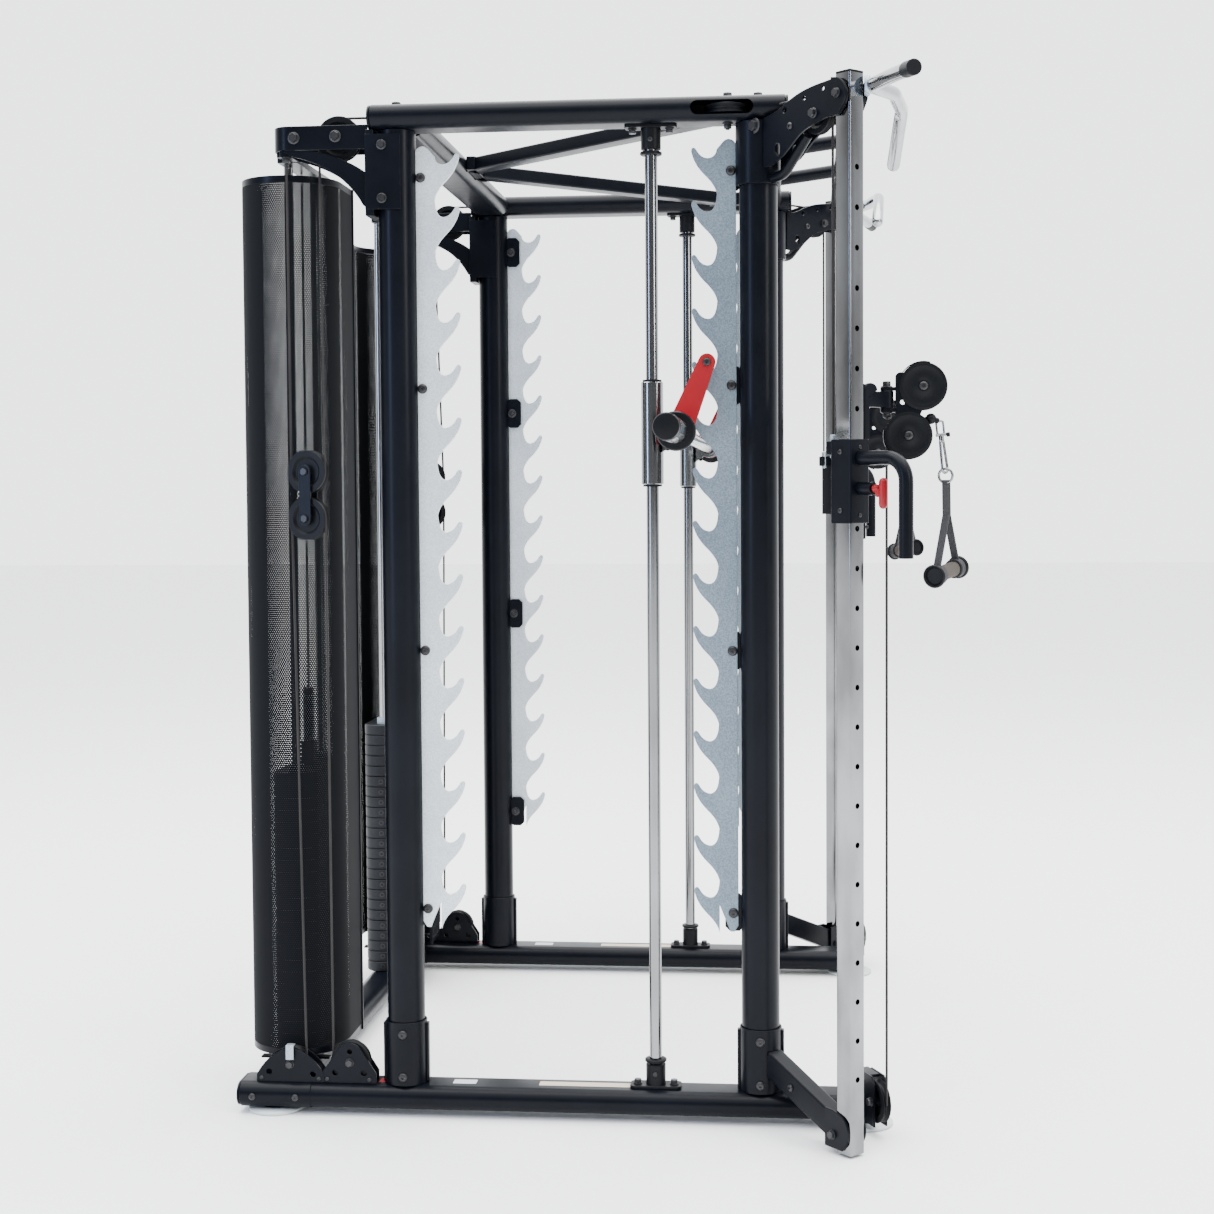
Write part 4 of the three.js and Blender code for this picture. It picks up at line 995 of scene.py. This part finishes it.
covers = Shape()
for centre, notch in ((UPPER, 14), (LOWER, -78)):
    for sign in (-1, 1):
        dished = [(45.5, 0), (45.5, 1.6), (41, 2.6), (38, 2.6), (36, 1.6), (14, 1.6), (12, 3), (9, 3)]
        place = centre + X_AXIS * sign * (CHEEK + CHEEK_THICK + 0.2)
        covers.lathe(place, X_AXIS * sign, dished, 72)
    rim = [(48, notch + k * 4) for k in range(24)] + [(46.2, notch + 92 - k * 4) for k in range(24)]
    lip = [(r * math.cos(math.radians(a)), r * math.sin(math.radians(a))) for r, a in rim]
    covers.across(shifted(lip, centre.y, centre.z), centre.x - 12, centre.x + 12, (), 0.4)
put(covers, "swivel_pulley_covers", "black_plastic", "swivel_{s}")
for name, centre in (("upper", UPPER), ("lower", LOWER)):
    wheel = Shape().wheel(centre, X_AXIS, 44, 38, 17, 9)
    put(wheel, f"{name}_swivel_wheel", "black_plastic", f"{name}_pulley_{{s}}",
        [f"{name}_swivel_pulley_{{s}}"])

# ---------------------------------------------------------------- grip set

BALL = at(-721, -331, 1408)
EYE_TOP = at(-721, -347, 1403)
RING_CENTRE = at(-721, -359, 1300)
GRIP_Z = 1115
GRIP_LEFT = at(-764, -338, GRIP_Z - 6)
GRIP_RIGHT = at(-678, -383, GRIP_Z + 6)


def ring_shape(centre, normal, r, wire, sides=40):
    m = frame_on(centre, normal)
    loops = []
    for k in range(sides):
        a = math.tau * k / sides
        spoke = Vector((math.cos(a), math.sin(a), 0))
        turns = [math.tau * j / 14 for j in range(14)]
        loops.append([m @ (spoke * (r + wire * math.cos(t)) + UP * (wire * math.sin(t))) for t in turns])
    return Shape().loft(loops, True)


def loop_wire(points, wire, bend):
    """A closed wire link through corner points."""
    middle = (Vector(points[0]) + Vector(points[-1])) / 2
    return Shape().tube([middle, *points, middle], wire, bend, 16, "none")


stopper = Shape()
profile = [(10.5 * math.cos(math.radians(a)), 10.5 * math.sin(math.radians(a))) for a in range(-84, 85, 12)]
stopper.lathe(BALL, (EYE_TOP - BALL), profile, 36)
stopper.lathe(BALL, (EYE_TOP - BALL), [(5.5, 9), (5.5, 14), (4, 16)], 24)
put(stopper, "cable_ball_stopper", "black_plastic", "grip_{s}", ["grip_handle_{s}"])

hook_dir = (RING_CENTRE - EYE_TOP).normalized()
hook_side = at(0, hook_dir.z, -hook_dir.y).normalized()
chain = Shape()
shackle_bottom = EYE_TOP + hook_dir * 27
shackle_pin = shackle_bottom - hook_dir * 1
chain.join(loop_wire([EYE_TOP + hook_side * 6.5, EYE_TOP + hook_side * 6.5 + hook_dir * 26,
                      EYE_TOP - hook_side * 6.5 + hook_dir * 26, EYE_TOP - hook_side * 6.5], 2.1, 5.5))
chain.rod(shackle_pin - hook_side * 10, shackle_pin + hook_side * 10, 3.4, 20)
snap_top, snap_bottom = EYE_TOP + hook_dir * 30, EYE_TOP + hook_dir * 99
chain.rod(snap_top - hook_dir * 3, snap_top + hook_dir * 9, 5, 24)
snap_wide = (X_AXIS * 0.75 + hook_side * 0.65).normalized()
chain.join(loop_wire([snap_top + snap_wide * 5 + hook_dir * 8, snap_bottom + snap_wide * 8.5,
                      snap_bottom - snap_wide * 8.5, snap_top - snap_wide * 5 + hook_dir * 8], 2.7, 8))
chain.join(ring_shape(RING_CENTRE - UP * 1, hook_side * 0.35 + X_AXIS * 0.9, 13.5, 2.6, 48))
put(chain, "snap_hook_and_ring", "chrome", "grip_{s}", look=ROD_CHROME)
chain_knob = Shape().rod(shackle_bottom + hook_side * 10.4, shackle_bottom + hook_side * 17, 4.4, 20)
put(chain_knob, "shackle_knob", "black_plastic", "grip_{s}")

grip_axis = (GRIP_RIGHT - GRIP_LEFT).normalized()
grip_side = grip_axis.cross(UP).normalized()
FORK = at(-721, -361, 1222)
strap = Shape()
strap.bar(FORK + UP * 2, at(-721, -360, 1290), round_rect(16, 6, 2), Y_AXIS)
strap.bar(at(-721, -360, 1286), at(-721, -360, 1291), round_rect(18, 9, 3), Y_AXIS)
for end in (GRIP_LEFT, GRIP_RIGHT):
    inner = end - (end - (GRIP_LEFT + GRIP_RIGHT) / 2).normalized() * 5
    top = FORK + UP * 6 + (end - FORK).normalized() * 1
    strap.bar(top, inner + UP * 16, round_rect(15, 4, 1.4), grip_side)
    strap.lathe(inner, grip_axis, band_profile(15.6, 18.8, -9, 9), 48)
put(strap, "grip_strap", "strap_webbing", "grip_{s}")

rubber = Shape()
ribs = [(13.2, 0)]
length = (GRIP_RIGHT - GRIP_LEFT).length - 28
for k in range(13):
    t = 2 + k * (length - 4) / 12.5
    ribs += [(14.6, t), (14.6, t + 3.2), (13.9, t + 4.2)]
rubber.lathe(GRIP_LEFT + grip_axis * 14, grip_axis, ribs, 48)
put(rubber, "grip_rubber_sleeve", "grip_rubber", "grip_{s}")
discs = Shape()
for end, sign in ((GRIP_LEFT, -1), (GRIP_RIGHT, 1)):
    disc = [(16, -2), (21, 0), (22.5, 3), (22.5, 5), (21, 7.4), (18.6, 8), (17.2, 6), (15, 1.5), (8, 1)]
    discs.lathe(end + grip_axis * sign * 4, grip_axis * sign, disc, 56)
discs.rod(GRIP_LEFT, GRIP_RIGHT, 12.6, 40)
put(discs, "grip_end_discs", "black_plastic", "grip_{s}")

# ---------------------------------------------------------------- tower: band, bracket and guide rods

TOWER = at(-492, 973, 0)
TOWER_R, GUARD_BOTTOM, GUARD_TOP, GUARD_INNER = 103, 108, 1920, -395
GUIDE_X = [-520, -312]
BAND_HALF, BAND_FRONT, BAND_CENTRE, BAND_BOTTOM, BAND_TOP = 35, 780, 942, 1962, 2010
REAR_PULLEY = at(SIDE_X, 845, 1988)

band = Shape()
outer = [(SIDE_X + BAND_HALF, BAND_FRONT)] + arc(SIDE_X, BAND_CENTRE, BAND_HALF, 0, 180, 24)
outer += [(SIDE_X - BAND_HALF, BAND_FRONT), (SIDE_X - BAND_HALF + 6, BAND_FRONT)]
outer += arc(SIDE_X, BAND_CENTRE, BAND_HALF - 6, 180, 0, 24) + [(SIDE_X + BAND_HALF - 6, BAND_FRONT)]
band.flat(outer, BAND_BOTTOM, BAND_TOP, (), 0.8)
band.block(SIDE_X - 41, SIDE_X + 41, 766, 784, 1828, 1999, 3)
for x0 in (SIDE_X - 42, SIDE_X + 38.4):
    band.block(x0, x0 + 3.6, 712, 784, 1840, 1990, 1)
for x0 in (SIDE_X - 34, SIDE_X + 29):
    gusset = smooth_line([(772, 1836), (790, 1850), (830, 1925, 935, 1950), (956, 1961), (900, 1961),
                          (815, 1945, 772, 1905)], 10)
    band.across(gusset, x0, x0 + 5, (), 0.7)
band.block(SIDE_X + 36, GUIDE_X[1] + 22, TOWER.y - 30, TOWER.y + 12, 1950, 1962.6, 4)
band.block(SIDE_X, SIDE_X + 40, TOWER.y - 30, TOWER.y + 3, 1955, 1961.8, 4)
put(band, "tower_band", "black_frame", replaced=["tower_frame_{s}"])
guides = Shape()
for x in GUIDE_X:
    guides.rod(at(x, TOWER.y, RAIL_TOP + 0.5), at(x, TOWER.y, 1949.8), 9.5, 40)
put(guides, "guide_rods", "chrome")
tower_bolts = Shape()
for y, z in ((REAR_PULLEY.y, REAR_PULLEY.z), (930, 1986)):
    for sign in (-1, 1):
        tower_bolts.hex_bolt(at(SIDE_X + sign * BAND_HALF, y, z), X_AXIS * sign, 17, 8, 12)
for z in (1862, 1968):
    tower_bolts.hex_bolt(at(SIDE_X - 42.2, 750, z), -X_AXIS, 15, 7, 10)
for x in GUIDE_X:
    tower_bolts.hex_bolt(at(x, TOWER.y, 1962.8), UP, 15, 6, 10)
tower_bolts.nut(at(SIDE_X - 18, 950, BAND_BOTTOM - 12), -UP, 15, 9, 10, 12)
put_bolts(tower_bolts, "tower_bolts")
anchor_bar = Shape().block(SIDE_X - 28, SIDE_X + 28, 938, 962, BAND_BOTTOM - 12, BAND_BOTTOM - 0.4, 3)
put(anchor_bar, "band_anchor_bar", "black_frame")
rear_wheel = Shape().wheel(REAR_PULLEY, X_AXIS, 45.5, 39, 18)
for sign in (-1, 1):
    rear_wheel.rod(REAR_PULLEY + X_AXIS * sign * 10.6, REAR_PULLEY + X_AXIS * sign * 28.8, 9, 24)
put(rear_wheel, "rear_roof_pulley", "black_plastic")

# ---------------------------------------------------------------- weight stack and lift head

STACK_LEFT, STACK_RIGHT, STACK_HALF, STACK_MIDDLE, STACK_TOP = -560, -272, 47, 560, 690
STEM_X = -416
PLATE_PITCH = 26


def stack_plate(shape, z0, z1):
    middle = (STACK_LEFT + STACK_RIGHT) / 2
    outline = shifted(round_rect(STACK_RIGHT - STACK_LEFT, 2 * STACK_HALF, 40, 8), middle, TOWER.y)
    holes = [circle(x, TOWER.y, 10.6, 24) for x in GUIDE_X] + [circle(STEM_X, TOWER.y, 12.4, 24)]
    return shape.flat(outline, z0, z1, holes, 2)


plates = Shape()
bottom = RAIL_TOP + 0.5
count = round((STACK_MIDDLE - bottom) / PLATE_PITCH)
pitch = (STACK_MIDDLE - bottom) / count
for i in range(count):
    stack_plate(plates, bottom + i * pitch, bottom + (i + 1) * pitch - 0.7)
put(plates, "weight_plates", "weight_iron", replaced=["weight_stack_{s}"])
selector = Shape()
for i in range(count):
    z = bottom + (i + 0.5) * pitch
    selector.lathe(at(STACK_RIGHT - 0.6, TOWER.y, z), X_AXIS, band_profile(3.4, 6.4, 0.8, 1.6), 24)
put_bolts(selector, "selector_hole_rings")

lift = Shape()
for i in range(5):
    stack_plate(lift, STACK_MIDDLE + 0.4 + i * pitch, STACK_MIDDLE + 0.4 + (i + 1) * pitch - 0.7)
lift.block(STEM_X - 18, STEM_X + 18, TOWER.y - 14, TOWER.y + 14, STACK_TOP, STACK_TOP + 52, 4)
put(lift, "lift_plates", "weight_iron", "lift_{s}", ["lift_head_{s}"])
stem = Shape()
stem.rod(at(STEM_X, TOWER.y, 117), at(STEM_X, TOWER.y, STACK_TOP), 10.6, 32)
stem.rod(at(STEM_X, TOWER.y, STACK_TOP + 52.4), at(STEM_X, TOWER.y, 842), 12, 32)
bush = [(10.6, 0.4), (10.6, 16), (15, 16), (16, 14), (16, 0.4), (10.6, 0.4)]
for x in GUIDE_X:
    stem.lathe(at(x, TOWER.y, STACK_TOP), UP, bush, 32)
put(stem, "lift_stem", "zinc_plate", "lift_{s}")
stem_nut = Shape().hex_bolt(at(STEM_X, TOWER.y, 842.4), UP, 19, 14, 0)
put_bolts(stem_nut, "lift_stem_nut", "lift_{s}")

# ---------------------------------------------------------------- perforated guard

GUARD_WALL = 1.5


def guard_line(inset_by):
    r = TOWER_R - inset_by
    flat_steps = [TOWER.x + (GUARD_INNER - TOWER.x) * (1 - k / 3) for k in range(3)]
    line = [(x, TOWER.y + r) for x in flat_steps]
    line += arc(TOWER.x, TOWER.y, r, 90, 270, 48)
    return line + [(x, TOWER.y - r) for x in reversed(flat_steps)]


def guard_object(name, mirror):
    outer, inner = guard_line(0), guard_line(GUARD_WALL)
    n = len(outer)
    loop = outer + list(reversed(inner))
    shape = Shape()
    z0, z1 = GUARD_BOTTOM + 14, GUARD_TOP - 14
    shape.add([Vector((a, b, z)) for z in (z0, z1) for a, b in loop], [])
    total = len(loop)
    shape.faces = [(i, (i + 1) % total, total + (i + 1) % total, total + i) for i in range(total)]
    shape.faces += [(i, i + 1, total - 2 - i, total - 1 - i) for i in range(n - 1)]
    last = 2 * total - 1
    shape.faces += [(total + i, last - i, last - 1 - i, total + i + 1) for i in range(n - 1)]
    made = to_object(shape, name, None, mirror)
    run = [0.0]
    for a, b in zip(outer, outer[1:]):
        run.append(run[-1] + math.dist(a, b) * MM)
    along = run + list(reversed(run))
    layer = made.data.uv_layers.new(name="guard_metres")
    for corner in made.data.loops:
        v = corner.vertex_index
        layer.data[corner.index].uv = (along[v % total], made.data.vertices[v].co.z)
    return made


for s in ("left", "right"):
    guard = finished(guard_object(f"guard_sheet_{s}", s == "right"), "perforated_steel")
    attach(guard, "frame")
    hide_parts(f"stack_guard_{s}")

guard_edges = Shape()
loop = guard_line(0) + list(reversed(guard_line(2.4)))
for z0, z1 in ((GUARD_BOTTOM, GUARD_BOTTOM + 13.8), (GUARD_TOP - 13.8, GUARD_TOP)):
    guard_edges.flat(loop, z0, z1, (), 0.5)
for sign in (-1, 1):
    y = TOWER.y + sign * (TOWER_R - 3)
    guard_edges.block(GUARD_INNER + 0.4, GUARD_INNER + 5, y - 6, y + 3, GUARD_BOTTOM, GUARD_TOP, 1)
put(guard_edges, "guard_hems", "black_frame")
guard_feet = Shape()
for x, y in ((TOWER.x - 60, 900), (TOWER.x + 80, 894), (TOWER.x - 60, 1046), (TOWER.x + 80, 1052)):
    guard_feet.block(x - 10, x + 10, min(y, 973), max(y, 973), 92, 96, 1.5)
put(guard_feet, "guard_feet", "black_frame")

# ---------------------------------------------------------------- travelling block

block_low, block_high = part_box("travelling_block_left")
block_middle = (block_low + block_high) / 2
BLOCK = at(block_middle.x / MM, (block_middle.y - DEPTH_SHIFT) / MM, 0)
BLOCK_UPPER, BLOCK_LOWER, BLOCK_TURN = 1317, 1222, -0.3
BLOCK_AXIS = at(math.cos(BLOCK_TURN), math.sin(BLOCK_TURN), 0)
BLOCK_DEPTH = at(-math.sin(BLOCK_TURN), math.cos(BLOCK_TURN), 0)

block_wheels, block_plates, block_bolts = Shape(), Shape(), Shape()
for z in (BLOCK_UPPER, BLOCK_LOWER):
    block_wheels.wheel(BLOCK + UP * z, BLOCK_AXIS, 44, 37, 18, 12)
    for sign in (-1, 1):
        block_bolts.hex_bolt(BLOCK + UP * z + BLOCK_AXIS * sign * 15, BLOCK_AXIS * sign, 14, 5, 0)
for sign in (-1, 1):
    m = on_axes(BLOCK, BLOCK_DEPTH, UP, BLOCK_AXIS)
    length = BLOCK_UPPER - BLOCK_LOWER + 27
    outline = shifted(round_rect(27, length, 13, 8), 0, (BLOCK_UPPER + BLOCK_LOWER) / 2)
    t = sorted([sign * 11, sign * 15])
    block_plates.slab(m, outline, t[0], t[1], (), 0.8)
put(block_wheels, "block_wheels", "black_plastic", "block_{s}", ["travelling_block_{s}"])
put(block_plates, "block_side_plates", "black_frame", "block_{s}")
put_bolts(block_bolts, "block_bolts", "block_{s}")

# ---------------------------------------------------------------- floor pulleys

floor_plates, floor_wheels, floor_bolts = Shape(), Shape(), Shape()
B_CENTRE = at(-612, 841, 106)
A_CENTRE = at(-613, 966, 100)
FLOOR_PLATE_Z = RAIL_TOP + 0.4
triangle = smooth_line([(786, FLOOR_PLATE_Z), (900, FLOOR_PLATE_Z), (900, 84), (868, 128),
                        (858, 146, 841, 146), (824, 146, 814, 128), (786, 84)], 8)
fan = smooth_line([(894, FLOOR_PLATE_Z), (1036, FLOOR_PLATE_Z), (1036, 78), (1014, 122, 966, 134),
                   (922, 128, 894, 80)], 10)
triangle_holes = [circle(812, 84, 6, 16), circle(872, 84, 6, 16), circle(841, 128, 5, 16)]
for x0 in (B_CENTRE.x - 16, B_CENTRE.x + 12):
    floor_plates.across(triangle, x0, x0 + 4, triangle_holes)
for x0 in (A_CENTRE.x - 16, A_CENTRE.x + 12):
    floor_plates.across(fan, x0, x0 + 4, [circle(918, 80, 6, 16), circle(1010, 84, 6, 16)])
floor_wheels.wheel(B_CENTRE, X_AXIS, 41, 35, 18)
floor_wheels.wheel(A_CENTRE, X_AXIS, 35, 29, 18)
for centre in (A_CENTRE, B_CENTRE):
    for sign in (-1, 1):
        floor_bolts.hex_bolt(centre + X_AXIS * sign * 16.2, X_AXIS * sign, 14, 6, 9)
for y in (800, 888, 906, 1026):
    floor_bolts.button(at(-628, y, 71), -X_AXIS, 4.5, 3)
tag = Shape().block(A_CENTRE.x - 25, A_CENTRE.x - 23.4, 956, 972, 112, 142, 0.6, 0.3)
tag.block(A_CENTRE.x - 24, A_CENTRE.x - 8, 956, 972, 139.6, 141.4, 0.6, 0.3)
put(tag, "floor_pulley_tag", "zinc_plate")

HOUSING_X = at(0.91, 0.41, 0).normalized()
HOUSING_SIDE = HOUSING_X.cross(UP)
CABLE_FOOT = at(SWIVEL.x, SWIVEL.y, 0)
FRONT_WHEEL = CABLE_FOOT + HOUSING_X * 38 + UP * 72
floor_wheels.wheel(FRONT_WHEEL, HOUSING_SIDE, 42, 36, 17)
m = on_axes(CABLE_FOOT, HOUSING_X, UP, HOUSING_SIDE)
cheek_outline = smooth_line([(26, 24), (118, 22), (118, 92), (92, 122), (38, 122), (26, 108)], 4)
for t in (-15, 11):
    floor_plates.slab(m, cheek_outline, t, t + 4)
floor_plates.slab(m, shifted(round_rect(52, 6, 1), 78, 118), -10.8, 10.8)
for sign in (-1, 1):
    floor_bolts.hex_bolt(FRONT_WHEEL + HOUSING_SIDE * sign * 15.2, HOUSING_SIDE * sign, 14, 6, 9)
put(floor_plates, "floor_pulley_brackets", "black_frame")
put(floor_wheels, "floor_pulleys", "black_plastic")
put_bolts(floor_bolts, "floor_pulley_bolts")

# ---------------------------------------------------------------- cables

CABLE_R = 2.5
HEAD_CABLE_U = HEAD_U + 34 + CABLE_R + 0.5
HEAD_CABLE = along_bracket(HEAD_CABLE_U, 0, 0)


def fine(start, end, step=60):
    """Points along a straight line, about a step apart."""
    count = max(2, round((Vector(end) - Vector(start)).length / step))
    return [Vector(start).lerp(Vector(end), k / count) for k in range(count + 1)]


def around(centre, first, second, r, start, end, steps=18):
    """Points on an arc in the plane of two directions, angles in degrees."""
    angles = [math.radians(start + (end - start) * k / steps) for k in range(steps + 1)]
    return [centre + first * r * math.cos(a) + second * r * math.sin(a) for a in angles]


def put_cable(points, name, body="frame", replaced=(), blend=None):
    put(Shape().tube(points, CABLE_R, 0, 12, "none"), name, "cable", body, replaced, blend=blend)


head_top = HEAD_CABLE + UP * HEAD_Z
head_bottom = HEAD_CABLE + UP * 1379
put_cable(fine(head_bottom, head_top), "head_cable_run", replaced=["head_cable_{s}"],
          blend=("carriage_{s}", "frame", head_bottom, head_top))
over = around(along_bracket(HEAD_U, 0, HEAD_Z), BRACKET, UP, 37, 0, 96)
over.append(along_bracket(62, 0, ROOF_Z + 1))
put_cable(over, "head_cable_over")

tail = [at(SIDE_X, 780, REAR_PULLEY.z + 41.5)]
tail += around(REAR_PULLEY, -Y_AXIS, UP, 41.5, 90, 180, 14)
put_cable(tail, "rear_cable_over")
drop_top = REAR_PULLEY + Y_AXIS * 41.5
front_in = BLOCK + BLOCK_DEPTH * -39.5
back_in = BLOCK + BLOCK_DEPTH * 39.5
nut_end = at(SIDE_X - 18, 950, BAND_BOTTOM - 32)
upper_wheel = BLOCK + UP * BLOCK_UPPER
descent = fine(drop_top, front_in + UP * BLOCK_UPPER)
under = around(upper_wheel, BLOCK_DEPTH, UP, 39.5, 180, 360)
ascent = fine(back_in + UP * BLOCK_UPPER, nut_end)
put_cable(descent + under[1:-1] + ascent, "block_upper_cable",
          blend=("frame", "block_{s}", at(BLOCK.x, BLOCK.y, 1945), at(BLOCK.x, BLOCK.y, BLOCK_UPPER)))
lower_wheel = BLOCK + UP * BLOCK_LOWER
b_tangent = B_CENTRE + Y_AXIS * 37.5
a_tangent = A_CENTRE - Y_AXIS * 31.5
climb = fine(a_tangent, back_in + UP * BLOCK_LOWER)
top_turn = around(lower_wheel, BLOCK_DEPTH, UP, 39.5, 0, 180)
fall = fine(front_in + UP * BLOCK_LOWER, b_tangent)
put_cable(climb + top_turn[1:-1] + fall, "block_lower_cable",
          blend=("frame", "block_{s}", at(BLOCK.x, BLOCK.y, 150), at(BLOCK.x, BLOCK.y, BLOCK_LOWER)))

handle_low = CABLE_FOOT + UP * 74
handle_high = CABLE_FOOT + UP * LOWER.z
put_cable(fine(handle_low, handle_high), "handle_cable_run", replaced=["handle_cable_{s}"],
          blend=("frame", "carriage_{s}", handle_low, handle_high))
leave, arrive = BALL + UP * 3, BALL - UP * 3
wrap = around(LOWER, Y_AXIS, UP, 40.5, 2, 128) + [leave]
put_cable(wrap, "swivel_cable_wrap", "swivel_{s}")
put_cable([leave, BALL, arrive], "swivel_to_grip_cable", blend=("swivel_{s}", "grip_{s}", leave, arrive))
lift_top, shelf = at(STEM_X, TOWER.y, 856), at(STEM_X, TOWER.y, 1949)
put_cable(fine(lift_top, shelf), "lift_cable", blend=("lift_{s}", "frame", lift_top, shelf))

# ---------------------------------------------------------------- floor, light and camera

floor_mesh = bpy.data.meshes.new("floor")
FLOOR = 30
floor_mesh.from_pydata([(-FLOOR, -FLOOR, 0), (FLOOR, -FLOOR, 0), (FLOOR, FLOOR, 0), (-FLOOR, FLOOR, 0)], [],
                       [(0, 1, 2, 3)])
floor = bpy.data.objects.new("floor", floor_mesh)
bpy.context.scene.collection.objects.link(floor)
floor_look = Nodes("pale_floor")
floor_look.values(Roughness=0.85)
floor_look.shader.inputs["Base Color"].default_value = (0.93, 0.93, 0.93, 1)
floor_mesh.materials.append(floor_look.material)
floor.location.z = -0.0005

# The room is bright behind the machine, dim on the camera's side and brightest overhead.
SKY_DIM, SKY_BRIGHT, SKY_OVERHEAD = 0.26, 3.1, 3.6
world = bpy.data.worlds.new("studio")
world.use_nodes = True
sky = world.node_tree.nodes["Background"]
sky.inputs["Color"].default_value = (0.96, 0.98, 1.0, 1)
sky_nodes, sky_links = world.node_tree.nodes, world.node_tree.links


def eased(source, first, last, low_value, high_value):
    change = sky_nodes.new("ShaderNodeMapRange")
    change.interpolation_type = "SMOOTHSTEP"
    change.inputs["From Min"].default_value = first
    change.inputs["From Max"].default_value = last
    change.inputs["To Min"].default_value = low_value
    change.inputs["To Max"].default_value = high_value
    sky_links.new(source, change.inputs["Value"])
    return change.outputs["Result"]


direction = sky_nodes.new("ShaderNodeTexCoord")
apart = sky_nodes.new("ShaderNodeSeparateXYZ")
sky_links.new(direction.outputs["Generated"], apart.inputs["Vector"])
across_room = eased(apart.outputs["X"], -0.35, 0.75, SKY_DIM, SKY_BRIGHT)
overhead = eased(apart.outputs["Z"], 0.3, 0.8, 0.0, 1.0)
mixed = sky_nodes.new("ShaderNodeMix")
sky_links.new(overhead, mixed.inputs["Factor"])
sky_links.new(across_room, mixed.inputs["A"])
mixed.inputs["B"].default_value = SKY_OVERHEAD
sky_links.new(mixed.outputs["Result"], sky.inputs["Strength"])
bpy.context.scene.world = world


def area_light(name, place, aim, size, power, color=(1, 1, 1)):
    light = bpy.data.lights.new(name, "AREA")
    light.shape = "RECTANGLE"
    light.size, light.size_y = size
    light.energy = power
    light.color = color
    made = bpy.data.objects.new(name, light)
    made.location = place
    made.rotation_euler = (Vector(aim) - Vector(place)).to_track_quat("-Z", "Y").to_euler()
    bpy.context.scene.collection.objects.link(made)


area_light("overhead", (0, 0, 6.0), (0, 0, 0), (7, 7), 900)
area_light("key", (-3.4, -4.4, 3.0), (0, 0, 1.1), (1.0, 2.4), 110)
area_light("fill", (-4.2, 4.2, 2.2), (0, 0.2, 1.0), (0.8, 2.8), 120, (0.45, 0.6, 1.0))

YAW, PITCH, ROLL = 0.09577, -0.043817, -0.0062945
CAMERA_PLACE = at(-4397.26, -84.4, 1267.49)
LENS, SHIFT_X, SHIFT_Y = 56.197, -0.01063, -0.02446
forward = Vector((math.cos(YAW) * math.cos(PITCH), math.sin(YAW) * math.cos(PITCH), math.sin(PITCH)))
right = forward.cross(UP).normalized()
above = right.cross(forward)
turned_right = right * math.cos(ROLL) + above * math.sin(ROLL)
turned_up = above * math.cos(ROLL) - right * math.sin(ROLL)
camera = bpy.data.cameras.new("camera")
camera.sensor_width = 36
camera.lens = LENS
camera.shift_x = SHIFT_X
camera.shift_y = SHIFT_Y
camera.clip_end = 100
viewer = bpy.data.objects.new("camera", camera)
viewer.matrix_world = on_axes(to_metres(CAMERA_PLACE), turned_right, turned_up, -forward)
bpy.context.scene.collection.objects.link(viewer)
bpy.context.scene.camera = viewer
